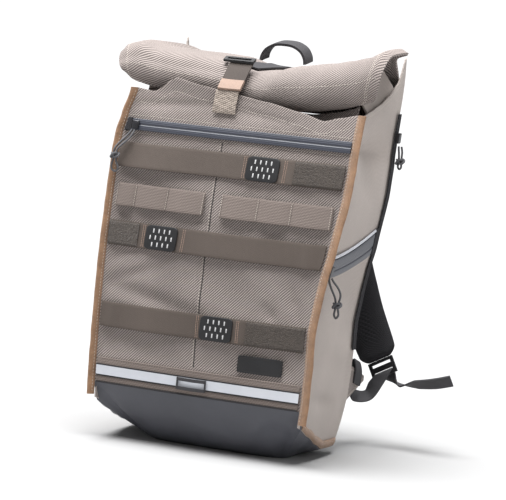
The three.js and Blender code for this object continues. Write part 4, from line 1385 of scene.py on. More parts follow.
BACK_CORD_ROUTE = (
    (148.0, 91.4, 354.5), (148.2, 91.6, 351.0), (148.6, 92.0, 347.5), (148.8, 92.4, 344.0),
    (149.0, 92.6, 340.5), (149.0, 92.6, 337.0), (148.8, 92.6, 333.5), (148.6, 92.6, 330.5),
    (150.6, 92.6, 328.2), (152.6, 92.6, 330.5), (152.4, 92.6, 333.5), (152.2, 92.6, 337.0),
    (152.2, 92.6, 340.5), (152.4, 92.4, 344.0), (152.6, 92.0, 347.5), (152.2, 91.6, 351.0),
    (151.4, 91.4, 354.5),
)


@dataclass
class Shell:
    """The bag's sewn body: front, sides, back, coated bottom and the hidden panels."""

    tailor: Tailor
    form: BagForm = FORM

    def build(self) -> None:
        """Makes every panel."""
        self.front()
        for side in Side:
            self.side(side)
            self.gusset(side)
            self.binding(side)
            self.boot_binding(side)
        self.back()
        self.boot()
        self.throat()

    def front_skin(self, u: float, v: float, lift: float) -> Vector:
        """The front panel's outer face, with its folds.

        Args:
            u: The share across.
            v: The share along.
            lift: How far out from the skin.

        Returns:
            The place in millimetres.
        """
        form = self.form
        share = 2 * u - 1
        z = lerp(form.tarp_top + form.gap, form.lip(share), v)
        x = share * (form.half_width(z, share) - form.gap)
        curl = 2.4 * clamp((z - 372) / 36, 0, 1) ** 2 * (1 - share * share)
        return form.front(x, z, lift - form.front_dip(x, z) + curl)

    def front(self) -> None:
        """The front panel, its middle seam and its lip."""
        tailor = self.tailor
        tailor.cloth("front_sewn", "twill", self.front_skin, 104, 120, self.form.fabric,
                     nodes=["front_panel"], sheet="stretched", soft_edge=0.4, upright=True)
        seam = self.over_front
        # The middle seam is a thin dark strip laid on the front: painted shade of the seam's groove.
        tailor.cloth("middle_seam", "dark thread", lambda u, v, lift: seam(
            lerp(-5.5, -13, v) + (u - 0.5) * 1.3, lerp(96, 346, v), lift + 0.12), 2, 60, 0.35)
        tailor.stitch_line("middle_seam_stitches", lambda u, v, lift: seam(
            lerp(-7.6, -15.1, v), lerp(96, 346, v), lift), (0, 0), (0, 1), pitch=3.4)
        tailor.stitch_line("lip_stitches", lambda u, v, lift: self.front_skin(u, 0.955, lift),
                           (0.03, 0), (0.97, 0), steps=80, pitch=3.4, width=0.6)
        for word, z in (("upper", 366), ("lower", 346.4)):
            tailor.stitch_line(f"zip_{word}_stitches", lambda u, v, lift, z=z: seam(
                lerp(-134, 136, u), z, lift), (0, 0), (1, 0), steps=80, width=0.5)

    def over_front(self, x: float, z: float, lift: float) -> Vector:
        """A place on the front's folded cloth."""
        return self.form.front(x, z, lift - self.form.front_dip(x, z))

    def side_skin(self, side: Side) -> Skin:
        """A side panel's outer face, with its folds.

        Args:
            side: The side of the bag.

        Returns:
            The skin.
        """
        form = self.form

        def skin(u: float, v: float, lift: float) -> Vector:
            """The panel's outer face."""
            z = lerp(form.side_low(u), form.side_high(u), v)
            return form.side(side, u, z, lift - form.side_dip(u, z))
        return skin

    def side(self, side: Side) -> None:
        """A side panel with its turned upper edge.

        Args:
            side: The side of the bag.
        """
        skin = self.side_skin(side)
        self.tailor.cloth(f"side_{side.word}_sewn", "side cloth", skin, 64, 150, self.form.fabric,
                          nodes=[f"side_panel_{side.word}"], sheet="stretched", soft_edge=0.4)
        self.tailor.stitch_line(f"side_{side.word}_edge_stitches", skin, (0.04, 0.985), (0.96, 0.985),
                                steps=60, width=0.6)

    def gusset(self, side: Side) -> None:
        """The folded-in piece above a side panel.

        Args:
            side: The side of the bag.
        """
        form = self.form

        def skin(u: float, v: float, lift: float) -> Vector:
            """The gusset's outer face.

            Args:
                u: The share across.
                v: The share along.
                lift: How far out from the skin.

            Returns:
                The place in millimetres.
            """
            share = lerp(0.26, 0.8, u)
            edge = form.side_high(share)
            z = edge + lerp(-7, 17, v)
            lean = 2 * form.gap + max(v - 0.2, 0) * 18
            y = lerp(form.front_y(edge) + form.seam, form.back_y(edge), share)
            room = min(form.inner_half(edge, side.value), form.inner_half(z, side.value))
            return Vector((side.value * (room - form.side_dent(share, z) - lean + lift), y, z))
        self.tailor.cloth(f"gusset_{side.word}_sewn", "side cloth", skin, 24, 12, form.fabric,
                          nodes=[f"gusset_{side.word}"], sheet="folded")

    def back_skin(self, u: float, v: float, lift: float) -> Vector:
        """The padded back with its two raised pads and the channel between them.

        Args:
            u: The share across.
            v: The share along.
            lift: How far out from the skin.

        Returns:
            The place in millimetres.
        """
        form = self.form
        z = lerp(form.back_rim + form.gap, form.back_top, v)
        share = 2 * u - 1
        pads = bump((abs(share) - 0.5) / 0.3) * (1 - bump((v - 0.52) / 0.05) * 0.8)
        edge = clamp(min(u, 1 - u, v, 1 - v) / 0.04, 0, 1)
        rise = (pads * 3.0 - 2.0) * edge - 1.2 * (1 - edge)
        x = share * (form.inner_half(z, share) - 3 * form.gap)
        return Vector((x, form.back_y(z) + rise + lift, z))

    def back(self) -> None:
        """The padded back panel."""
        piece = self.tailor.cloth("back_padded", "black cloth", self.back_skin, 60, 90,
                                  self.form.back_pad - 3, nodes=["back_panel"], soft_edge=1.0)

    def boot_rim(self, t: float) -> tuple[Vector, float, float]:
        """The coated bottom's rim at a turn from 0 to 1: its place, and its shares across and along.

        Args:
            t: The share of the way, from 0 to 1.

        Returns:
            The place and the two shares.
        """
        form = self.form
        turn = t % 1.0
        if turn < 0.34:
            share = 2 * turn / 0.34 - 1
            place = form.front(share * form.half_width(form.tarp_top, share), form.tarp_top, 0)
            return place, share, -1
        if turn < 0.5 or turn >= 0.84:
            side = 1 if turn < 0.5 else -1
            share = (turn - 0.34) / 0.16 if side > 0 else 1 - (turn - 0.84) / 0.16
            held = max(share, 0.02)
            z = form.side_low(held) - form.gap
            blend = clamp(share / 0.06, 0, 1)
            z = lerp(form.tarp_top, z, blend)
            y = lerp(form.front_y(z), form.back_y(z), held)
            return Vector((side * form.half_width(z, side), y, z)), side, 2 * share - 1
        share = 1 - 2 * (turn - 0.5) / 0.34
        z = min(form.back_rim, form.side_low(1)) - form.gap
        place = Vector((share * form.half_width(form.back_rim, share), form.back_y(form.back_rim), z))
        return place, share, 1

    def boot_skin(self, u: float, v: float, lift: float) -> Vector:
        """The coated bottom: its wall, and from three quarters on its floor.

        Args:
            u: The share across.
            v: The share along.
            lift: How far out from the skin.

        Returns:
            The place in millimetres.
        """
        form = self.form
        rim, px, py = self.boot_rim(u)
        wall = min(v / 0.78, 1)
        floor = clamp((v - 0.78) / 0.22, 0, 1)
        middle_y = form.back_y(form.back_rim) - form.base_back_inset - form.base_depth / 2
        power = 1 / (abs(px) ** 7 + abs(py) ** 7) ** (1 / 7)
        foot = Vector((form.base_shift + px * power * form.base_width / 2,
                       middle_y + py * power * form.base_depth / 2, 0))
        fall = math.sin(wall * math.pi / 2)
        chamfer = lerp(0.35, 0.9, px ** 4)
        reach = lerp(math.cos(wall * math.pi / 2), 1 - fall, chamfer)
        place = Vector((lerp(foot.x, rim.x, reach), lerp(foot.y, rim.y, reach), lerp(rim.z, 0, fall)))
        if py < 0 or abs(px) == 1:
            outward = Vector((px * 0.4, py, -0.4)).normalized()
            place -= outward * self.boot_dip(place) * clamp(math.sin(wall * math.pi), 0, 1)
        place = place.lerp(Vector((form.base_shift, middle_y, 0)), floor)
        down = Vector((0, 0, -1))
        out = down if floor else Vector((px, py, 0)).normalized().lerp(down, wall)
        return place + out * lift

    @staticmethod
    def boot_dip(place: Vector) -> float:
        """The soft folds in the coated bottom's front.

        Args:
            place: The place.

        Returns:
            The depth.
        """
        folds = (
            Crease((66, 26), (84, 52), 6, -3.2), Crease((84, 52), (102, 50), 5, -2.6),
            Crease((102, 50), (122, 32), 6, -2.4), Crease((84, 30), (100, 40), 9, 2.8),
            Crease((-88, 50), (-30, 34), 10, 1.8), Crease((-60, 40), (30, 24), 9, -1.2),
            Crease((-10, 46), (50, 28), 9, 1.6), Crease((-104, 44), (-84, 26), 5, -1.6),
        )
        sunk = sum(fold.at(place.x, place.z) for fold in folds)
        return sunk + 0.8 + noise.noise(Vector((place.x / 34, place.z / 22, 5.5))) * 1.0

    def boot(self) -> None:
        """The coated bottom, welded where its strip meets itself and at its middle."""
        tailor = self.tailor
        piece = tailor.grid("boot_coated", 168, 40)
        tailor.lay(piece, self.boot_skin)
        tailor.close_tube(piece, fill=False)
        lowest = min(piece.data.polygons, key=lambda face: face.center.z)
        if lowest.normal.z > 0:
            piece.data.flip_normals()
        wall = piece.modifiers.new("wall", "SOLIDIFY")
        wall.thickness = self.form.tarp * MM
        wall.offset = -1
        apply_modifiers(piece)
        tailor.finish(piece, "tarpaulin", ["boot"], 60)

    def throat(self) -> None:
        """The hidden front of the main room, under the roll."""
        form = self.form
        foot = form.panel_height * 0.86

        def skin(u: float, v: float, lift: float) -> Vector:
            """The panel's outer face.

            Args:
                u: The share across.
                v: The share along.
                lift: How far out from the skin.

            Returns:
                The place in millimetres.
            """
            share = 2 * u - 1
            under = form.roll_row(10, share)
            half = form.inner_half(foot, share) - form.fold + form.gap
            top = Vector((share * half, under.y, under.z - form.roll_cloth))
            low = Vector((share * half, form.front_y(foot) + form.fabric + form.belly, foot))
            return low.lerp(top, v) + Vector((0, -lift, 0))
        self.tailor.cloth("throat_sewn", "twill", skin, 40, 12, form.fabric, nodes=["throat_panel"],
                          sheet="hung")

    def binding(self, side: Side) -> None:
        """A folded suede binding that stands out from a front seam.

        Args:
            side: The side of the bag.
        """
        form = self.form
        top = form.lip(side.value)
        foot = form.tarp_top - 14
        lean, forward, length = (0.97, 0.25, 10.5) if side is Side.RIGHT else (0.78, 0.63, 8.0)
        outward = Vector((side.value * lean, -forward, 0))
        flat = Vector((side.value * forward, lean, 0))
        thick, start = 4.0, -1.0

        def skin(u: float, v: float, lift: float) -> Vector:
            """The binding's face, all round.

            Args:
                u: The share across.
                v: The share along.
                lift: How far out from the skin.

            Returns:
                The place in millimetres.
            """
            z = lerp(foot, top, v)
            seam = Vector((side.value * form.half_width(z, side.value), form.front_y(z), z))
            wave = 0.5 * noise.noise(Vector((z / 14, side.value * 3.0, 0.5)))
            turn = 2 * math.pi * u
            across = (1 - math.cos(turn)) / 2
            bulge = math.sin(turn) * (0.75 + 0.35 * across)
            return (seam + outward * (start + across * (length - start + wave))
                    + flat * (-bulge * (thick / 2 + lift)))
        piece = self.tailor.grid(f"binding_{side.word}_suede", 20, 110)
        self.tailor.lay(piece, skin)
        self.tailor.close_tube(piece)
        self.tailor.finish(piece, "suede", [f"binding_{side.word}"], 60)

        def face(u: float, v: float, lift: float) -> Vector:
            """The line of its stitches.

            Args:
                u: The share across.
                v: The share along.
                lift: How far out from the skin.

            Returns:
                The place in millimetres.
            """
            z = lerp(foot + 3, top - 3, v)
            seam = Vector((side.value * form.half_width(z, side.value), form.front_y(z), z))
            return seam + outward * 2.2 + flat * (-1.75 - lift)
        self.tailor.stitch_line(f"binding_{side.word}_stitches", face, (0, 0), (0, 1), steps=80,
                                pitch=3.6, width=0.45)

    def boot_binding(self, side: Side) -> None:
        """The suede edge between a side panel and the coated bottom.

        Args:
            side: The side of the bag.
        """
        form = self.form

        def skin(u: float, v: float, lift: float) -> Vector:
            """The edge's outer face.

            Args:
                u: The share across.
                v: The share along.
                lift: How far out from the skin.

            Returns:
                The place in millimetres.
            """
            share = lerp(0.06, 0.97, u)
            z = form.side_low(share) + 9 * v
            return form.side(side, share, z, lift + 1.6 * math.sin(math.pi * v) ** 0.5)
        self.tailor.cloth(f"boot_binding_{side.word}_suede", "suede", skin, 60, 8, 1.5,
                          nodes=[f"boot_binding_{side.word}"], lift=form.gap)


@dataclass
class Roll:
    """The rolled top with its stitching and end seams."""

    tailor: Tailor
    form: BagForm = FORM

    def skin(self, u: float, v: float, lift: float) -> Vector:
        """The roll's outer face, with soft folds.

        Args:
            u: The share across.
            v: The share along.
            lift: How far out from the skin.

        Returns:
            The place in millimetres.
        """
        form = self.form
        share = 2 * u - 1
        place = form.roll(share, v, lift)
        fade = clamp((v - 0.08) / 0.08, 0, 1)
        wave = noise.noise(Vector((place.x / 42, v * 9, 1.7))) * 1.4 - 0.5
        wave -= 1.6 * bump((v - 0.345) / 0.018) * clamp((0.2 - share) / 0.5, 0, 1)
        outward = form.roll(share, v, lift + 1) - place
        return place + outward * wave * fade

    def build(self) -> None:
        """Makes the roll."""
        form, tailor = self.form, self.tailor
        tailor.cloth("roll_sewn", "roll twill", self.skin, 130, 170, form.roll_cloth, nodes=["roll_top"],
                     lift=form.roll_cloth / 2, sheet="folded", smooth=60)
        outer = form.roll_cloth / 2
        tailor.stitch_line("roll_front_stitches", lambda u, _, lift: self.skin(u, 0.372, outer + lift),
                           (0.01, 0), (0.99, 0), steps=120, pitch=3.4, width=0.6)
        for name, u in (("roll_end_seam_right", 0.955), ("roll_end_seam_right_inner", 0.962),
                        ("roll_end_seam_left", 0.03)):
            tailor.stitch_line(name, lambda _, v, lift, u=u: self.skin(u, v, outer + lift),
                               (0, 0.2), (0, 0.46), steps=60, width=0.6)


@dataclass(frozen=True)
class StrapPlan:
    """One elastic front strap: its heights, what is on it and where it hangs loose."""

    name: str
    foot: float
    tab: float
    patch_from: float
    patch_to: float
    loose: tuple[tuple[float, float, float, float], ...]


STRAP_PLANS = (
    StrapPlan("upper", 308, 23.5, 80.5, OPEN, ((-92, 42, 3.6, 2.4), (70, 20, 0.8, 0.2))),
    StrapPlan("middle", 219.5, -83.5, -OPEN, -93.5,
              ((20, 60, 1.8, 0.8), (112, 9, 2.2, 0.6), (-88, 20, 0.6, 0.3))),
    StrapPlan("lower", 127.8, -1.5, 53.5, OPEN,
              ((-70, 40, 2.2, 1.6), (-112, 8, 2.2, 0.4), (46, 14, 1.0, 0.4))),
)


@dataclass
class FrontTrim:
    """Everything that is sewn on the front: straps, tabs, patches, loop rows, zip, label and hem."""

    tailor: Tailor
    form: BagForm = FORM
    strap_width: float = 28
    tab_length: float = 39
    webbing: float = 1.8
    loop_low: float = 264
    loop_high: float = 290
    zip_low: float = 349.5
    zip_high: float = 362.5
    label_x: float = 74
    label_z: float = 107.476
    hem_height: float = 29
    tape_rise: float = 10
    tape_height: float = 10.4
    lamp_left: float = -22
    lamp_right: float = 14

    def build(self) -> None:
        """Makes the front's trim."""
        for plan in STRAP_PLANS:
            self.strap(plan)
            self.tab(plan)
            self.patch(plan)
        self.loop_row("loop_row_left", (-134, -105.5, -65.5, -19.5))
        self.loop_row("loop_row_right", (0.5, 45.5, 85.5, 134))
        self.zip()
        self.label()
        self.hem()

    def edges(self, z: float) -> tuple[float, float]:
        """The front's clear width between its bindings."""
        return self.form.seam - self.form.half_width(z, -1), self.form.half_width(z) - self.form.seam

    def patch_skin(self, left: float, right: float, low: float, high: float,
                   rise: Rise, spill: float = 0) -> Skin:
        """A flat thing on the front, between limits, at a rise that may change over it.

        Args:
            left: The left limit.
            right: The right limit.
            low: The lower limit.
            high: The upper limit.
            rise: How far it stands out, from two places.
            spill: How far it may pass the right binding.

        Returns:
            The skin.
        """
        def skin(u: float, v: float, lift: float) -> Vector:
            """Its face, from its left end to its right end.

            Args:
                u: The share across.
                v: The share along.
                lift: How far out from the skin.

            Returns:
                The place in millimetres.
            """
            z = lerp(low, high, v)
            near, far = self.edges(z)
            x = lerp(max(left, near), min(right, far + spill), u)
            return self.form.front(x, z, rise(x, v) + lift)
        return skin

    def strap_rise(self, plan: StrapPlan) -> Rise:
        """How far a strap's face stands from the front.

        Args:
            plan: The strap's plan.

        Returns:
            The rise from a place across and a share of the height.
        """
        def rise(x: float, v: float) -> float:
            """The rise at a place.

            Args:
                x: The place across.
                v: The share along.

            Returns:
                The rise.
            """
            out = self.form.gap + self.webbing
            for middle, reach, loose, droop in plan.loose:
                hill = bump((x - middle) / reach)
                out += hill * (loose + droop * (1 - v))
            return out
        return rise

    def strap(self, plan: StrapPlan) -> None:
        """An elastic strap across the front.

        Args:
            plan: The strap's plan.
        """
        low, high = plan.foot, plan.foot + self.strap_width
        skin = self.patch_skin(-OPEN, OPEN, low, high, self.strap_rise(plan))
        self.tailor.cloth(f"{plan.name}_strap_elastic", "elastic", skin, 120, 8, self.webbing,
                          nodes=[f"{plan.name}_strap"], sheet="stretched", soft_edge=0.3)
        span = self.edges(low)[1] - self.edges(low)[0]
        for word, x in (("start", plan.tab - 4.5), ("end", plan.tab + self.tab_length + 5.5)):
            u = (x - self.edges(low)[0]) / span
            for row in range(2):
                self.tailor.stitch_line(f"{plan.name}_bar_{word}_{row}", skin, (u + row * 0.009, 0.06),
                                        (u + row * 0.009, 0.94), steps=8, finish="tan", pitch=1.9,
                                        length=1.9, width=0.9)

    def tab(self, plan: StrapPlan) -> None:
        """A rubber tab with rows of pale dashes.

        Args:
            plan: The strap's plan.
        """
        tailor = self.tailor
        rise = self.strap_rise(plan)
        middle_x, middle_z = plan.tab + self.tab_length / 2, plan.foot + self.strap_width / 2

        def over(x: float, z: float, out: float) -> Vector:
            """A place over the strap, from the tab's middle."""
            v = 0.5 + z / self.strap_width
            return self.form.front(middle_x + x, middle_z + z, rise(middle_x + x, v) + 0.3 + out)
        tab = tailor.block(f"{plan.name}_tab_rubber", (self.tab_length, 2.2, 27), 0, cuts=7)
        self.round_corners(tab, 5.0)
        tailor.wrap(tab, lambda x, z, out: over(x, z, out + 1.1))
        tailor.finish(tab, "rubber", [f"{plan.name}_tab"], 35)
        dashes = tailor.block(f"{plan.name}_tab_dashes", (1.5, 0.5, 4.6), 0.2, 2)
        base = [vertex.co.copy() for vertex in dashes.data.vertices]
        faces = [tuple(face.vertices) for face in dashes.data.polygons]
        points: list[Vector] = []
        polygons: list[tuple[int, ...]] = []
        for row, count in enumerate((4, 5, 4)):
            for column in range(count):
                x = (column - (count - 1) / 2) * 6.6
                z = (1 - row) * 7.6
                first = len(points)
                points += [Vector((co.x / MM + x, co.y / MM, co.z / MM + z)) for co in base]
                polygons += [tuple(first + corner for corner in face) for face in faces]
        dashes.data.clear_geometry()
        dashes.data.from_pydata([point * MM for point in points], [], polygons)
        tailor.wrap(dashes, lambda x, z, out: over(x, z, out + 2.25))
        tailor.finish(dashes, "dash", (), 30)

    @staticmethod
    def round_corners(piece: Piece, radius: float) -> None:
        """Rounds a block's four corners in its XZ plane, and softens its front edge.

        Args:
            piece: The piece.
            radius: The corners' radius.
        """
        size = piece.dimensions / MM
        half = Vector((size.x / 2, size.z / 2))
        inner = half - Vector((radius, radius))
        for vertex in piece.data.vertices:
            x, z = vertex.co.x / MM, vertex.co.z / MM
            past = Vector((max(abs(x) - inner.x, 0), max(abs(z) - inner.y, 0)))
            if past.x and past.y and past.length > 0:
                scale = radius * max(past.x, past.y) / (radius * past.length)
                vertex.co.x = math.copysign(inner.x + past.x * scale, x) * MM
                vertex.co.z = math.copysign(inner.y + past.y * scale, z) * MM
        soften(piece, 0.7, 3, 50)
        apply_modifiers(piece)

    def patch(self, plan: StrapPlan) -> None:
        """A patch of loop pile on a strap.

        Args:
            plan: The strap's plan.
        """
        rise = self.strap_rise(plan)

        def fluffy(x: float, v: float) -> float:
            """The pile's rise at a place.

            Args:
                x: The place across.
                v: The share along.

            Returns:
                The rise.
            """
            rim = clamp(min(v, 1 - v) / 0.06, 0, 1)
            fluff = noise.noise(Vector((x / 1.7, v * 16, plan.foot))) * 0.35
            return rise(x, v) + 0.3 + 1.5 * (0.45 + 0.55 * rim) + fluff
        low, high = plan.foot + 1, plan.foot + self.strap_width - 1
        skin = self.patch_skin(plan.patch_from, plan.patch_to, low, high, fluffy)
        self.tailor.cloth(f"{plan.name}_patch_pile", "pile", skin, 80, 32, 1.3, nodes=[f"{plan.name}_patch"])

    def loop_row(self, name: str, stitches: Sequence[float]) -> None:
        """A row of webbing loops that rises between its stitches.

        Args:
            name: The name.
            stitches: The places of its stitches.
        """
        low, high = self.loop_low, self.loop_high
        near, far = self.edges(low)
        places = [clamp(x, near + self.form.seam, far) for x in stitches]

        def rise(x: float, v: float) -> float:
            """The rise at a place.

            Args:
                x: The place across.
                v: The share along.

            Returns:
                The rise.
            """
            for start, end in zip(places, places[1:]):
                if start <= x <= end:
                    hill = math.sin(math.pi * (x - start) / (end - start)) ** 0.55
                    return self.form.gap + self.webbing + 3.6 * hill
            return self.form.gap + self.webbing
        skin = self.patch_skin(places[0], places[-1], low, high, rise)
        self.tailor.cloth(f"{name}_ribbon", "ribbon", skin, 120, 8, 1.5, nodes=[name], sheet="stretched",
                          soft_edge=0.3, smooth=60)
        for index, x in enumerate(places):
            u = clamp((x - places[0]) / (places[-1] - places[0]), 0.012, 0.988)
            for row, shift in enumerate((-0.006, 0.006)):
                self.tailor.stitch_line(f"{name}_bar_{index}_{row}", skin, (u + shift, 0.04),
                                        (u + shift, 0.96), steps=8, pitch=2.4, length=1.7, width=0.6,
                                        finish="dark thread" if row else "thread")

    def zip(self) -> None:
        """The coated front zip with its garage and slider."""
        form, tailor = self.form, self.tailor
        low, high = self.zip_low, self.zip_high

        def lips(x: float, v: float) -> float:
            """The rise of the zip's two lips."""
            return form.gap + 1.6 + 0.7 * (1 - bump((v - 0.5) / 0.05)) - 0.5 * abs(2 * v - 1) ** 4
        skin = self.patch_skin(-127, OPEN, low, high, lips, spill=2.6)
        tailor.cloth("front_zip_coated", "coated zip", skin, 120, 24, 1.5, nodes=["front_zip"],
                     soft_edge=0.2)
        garage = self.patch_skin(-OPEN, -127.4, low - 1, high + 1, lambda x, v: form.gap + 2.6)
        tailor.cloth("front_zip_garage_cloth", "black cloth", garage, 12, 12, 2.4,
                     nodes=["front_zip_garage"], soft_edge=0.8)
        slider = tailor.block("front_zip_slider_metal", (8.5, 4, 9.6), 1.4)
        tailor.wrap(slider, lambda x, z, out: form.front(-121.7 + x, 356 + z, form.gap * 2 + 1.6 + 2 + out))
        tailor.finish(slider, "metal", ["front_zip_slider"], 35)

    def label(self) -> None:
        """A bare rubber label."""
        form, tailor = self.form, self.tailor
        label = tailor.block("label_rubber", (53, 1.5, 19), 0, cuts=7)
        self.round_corners(label, 1.6)
        tailor.wrap(label, lambda x, z, out: form.front(
            self.label_x + x, self.label_z + z, form.gap + 0.75 + out))
        tailor.finish(label, "rubber", ["label_patch"], 35)

        def rim(u: float, v: float, lift: float) -> Vector:
            """The line of the label's stitches."""
            x, z = self.label_x + (u - 0.5) * 49, self.label_z + (v - 0.5) * 15
            return form.front(x, z, form.gap + 1.5 + lift)
        for name, start, end in (("low", (0, 0), (1, 0)), ("high", (0, 1), (1, 1)),
                                 ("left", (0, 0), (0, 1)), ("right", (1, 0), (1, 1))):
            tailor.stitch_line(f"label_stitches_{name}", rim, start, end, finish="dark thread", pitch=2.6,
                               length=1.8, width=0.5)

    def hem(self) -> None:
        """The hem band, its bright tape with dark edges and the small loop for a lamp."""
        form, tailor = self.form, self.tailor
        foot = form.tarp_top + form.gap
        band = self.patch_skin(-OPEN, OPEN, foot, foot + self.hem_height,
                               lambda x, v: form.gap + 1.6 - 0.4 * abs(2 * v - 1) ** 6)
        tailor.cloth("hem_ribbon", "ribbon", band, 100, 12, 1.5, nodes=["hem_band"], sheet="stretched",
                     soft_edge=0.3)
        tape_foot, tape = form.tarp_top + self.tape_rise, self.tape_height
        over = form.gap * 2 + 1.6
        bright = self.patch_skin(-OPEN, OPEN, tape_foot, tape_foot + tape, lambda x, v: over + 0.8)
        tailor.cloth("hem_tape_bright", "reflective", bright, 80, 4, 0.7, nodes=["reflective_tape"])
        for word, z in (("low", tape_foot - 1.7), ("high", tape_foot + tape), ("foot", foot + 0.2)):
            line = self.patch_skin(-OPEN, OPEN, z, z + 1.7, lambda x, v: over + 0.45)
            tailor.cloth(f"hem_edge_{word}", "dark line", line, 80, 2, 0.8)
        tailor.stitch_line("hem_stitches_top", band, (0.01, 0.94), (0.99, 0.94), steps=60,
                           finish="dark thread", pitch=3.0, width=0.5)

        def rise(x: float, v: float) -> float:
            """The rise of the lamp's loop.

            Args:
                x: The place across.
                v: The share along.

            Returns:
                The rise.
            """
            share = clamp((x - self.lamp_left) / (self.lamp_right - self.lamp_left), 0, 1)
            hill = max(math.sin(math.pi * share), 0)
            return over + 0.8 + form.gap + 1.7 + 2.1 * hill
        for word, low, high in (("low", tape_foot - 3, tape_foot + 0.4),
                                ("high", tape_foot + tape - 3.6, tape_foot + tape)):
            skin = self.patch_skin(self.lamp_left, self.lamp_right, low, high, rise)
            tailor.cloth(f"lamp_loop_{word}", "webbing", skin, 24, 3, 1.2,
                         nodes=["light_loop"] if word == "low" else ())
        for word, x in (("left", self.lamp_left), ("right", self.lamp_right - 1.8)):
            skin = self.patch_skin(x, x + 1.8, tape_foot - 3, tape_foot + tape, rise)
            tailor.cloth(f"lamp_loop_{word}", "webbing", skin, 2, 8, 1.2)


@dataclass
class SideTrim:
    """The side pocket's zip and the back room's zip, on the right."""

    tailor: Tailor
    form: BagForm = FORM
    zip_start: float = 0.03
    zip_end: float = 0.88
    zip_rise: float = 230
    zip_climb: float = 30
    zip_width: float = 20
    zip_spread: float = 7
    back_width: float = 9 / 141
    back_end: float = 0.993

    def zip_top(self, share: float) -> float:
        """The side zip's upper edge."""
        return self.zip_rise + self.zip_climb * share ** 1.7

    def zip_foot(self, share: float) -> float:
        """The side zip's lower edge."""
        return self.zip_top(share) - self.zip_width - self.zip_spread * share

    def side_skin(self, start: float, end: float, low: Callable[[float], float],
                  high: Callable[[float], float], rise: Rise) -> Skin:
        """A thing on the right side panel, between limits.

        Args:
            start: Where it starts.
            end: Where it ends.
            low: The lower limit.
            high: The upper limit.
            rise: How far it stands out, from two places.

        Returns:
            The skin.
        """
        def skin(u: float, v: float, lift: float) -> Vector:
            """Its outer face."""
            share = lerp(start, end, u)
            return self.form.side(Side.RIGHT, share, lerp(low(share), high(share), v), rise(share, v) + lift)
        return skin

    def build(self) -> None:
        """Makes the zips."""
        form, tailor = self.form, self.tailor
        start, end = self.zip_start, self.zip_end

        def lips(share: float, v: float) -> float:
            """The rise of the zip's two lips."""
            groove = bump((v - 0.38) / 0.05)
            return form.gap + 1.6 + 0.9 * (1 - groove) - 0.5 * abs(2 * v - 1) ** 6
        skin = self.side_skin(start, end, self.zip_foot, self.zip_top, lips)
        tailor.cloth("side_zip_coated", "coated zip", skin, 70, 30, 1.5, nodes=["side_zip"], soft_edge=0.2)
        piping = self.side_skin(
            start, end, lambda s: self.zip_top(s) + form.gap, lambda s: self.zip_top(s) + form.gap + 4,
            lambda s, v: form.gap + 2.8 * math.sin(math.pi * clamp(v, 0.04, 0.96)) ** 0.5)
        tailor.cloth("side_piping_bright", "reflective", piping, 70, 8, 1.0, nodes=["side_piping"])
        tailor.stitch_line("side_zip_stitches", self.side_skin(
            start, end, lambda s: self.zip_foot(s) - 3, lambda s: self.zip_foot(s) - 3,
            lambda s, v: 0.1), (0, 0), (1, 0), steps=50, width=0.5)
        stop = self.side_skin(end + 0.005, end + 0.04, self.zip_foot, lambda s: self.zip_top(s) + 4,
                              lambda s, v: form.gap + 3)
        tailor.cloth("side_zip_stop_cloth", "black cloth", stop, 6, 20, 2.6, nodes=["side_zip_stop"],
                     soft_edge=0.8)

        def middle(share: float) -> float:
            """The height of the zip's middle."""
            return self.zip_foot(share) + 8
        slider = self.side_skin(0.03, 0.09, lambda s: middle(s) - 6, lambda s: middle(s) + 6,
                                lambda s, v: form.gap * 2 + 1.6 + 5)
        tailor.cloth("side_zip_slider_metal", "metal", slider, 6, 8, 4.6, nodes=["side_zip_slider"],
                     soft_edge=1.3, smooth=35)
        self.back_zip()

    def back_zip(self) -> None:
        """The back room's zip beside the back edge."""
        form, tailor = self.form, self.tailor
        width, end = self.back_width, self.back_end
        start = end - width
        low, high = form.panel_height * 0.3, form.panel_height * 0.99

        def teeth(share: float, v: float) -> float:
            """The rise of the zip, with its line of teeth."""
            return form.gap * 3 + 1.4 - 0.5 * bump(((share - start) / width - 0.5) / 0.12)
        skin = self.side_skin(start, end, lambda s: low, lambda s: high, teeth)
        tailor.cloth("back_zip_cloth", "black cloth", skin, 12, 120, 1.3, nodes=["back_zip"])
        place = form.panel_height * 0.92
        slider = self.side_skin(start, start + width, lambda s: place - 6, lambda s: place + 6,
                                lambda s, v: form.gap * 4 + 1.4 + 4)
        tailor.cloth("back_zip_slider_metal", "metal", slider, 4, 8, 3.8, nodes=["back_zip_slider"],
                     soft_edge=1.2, smooth=35)


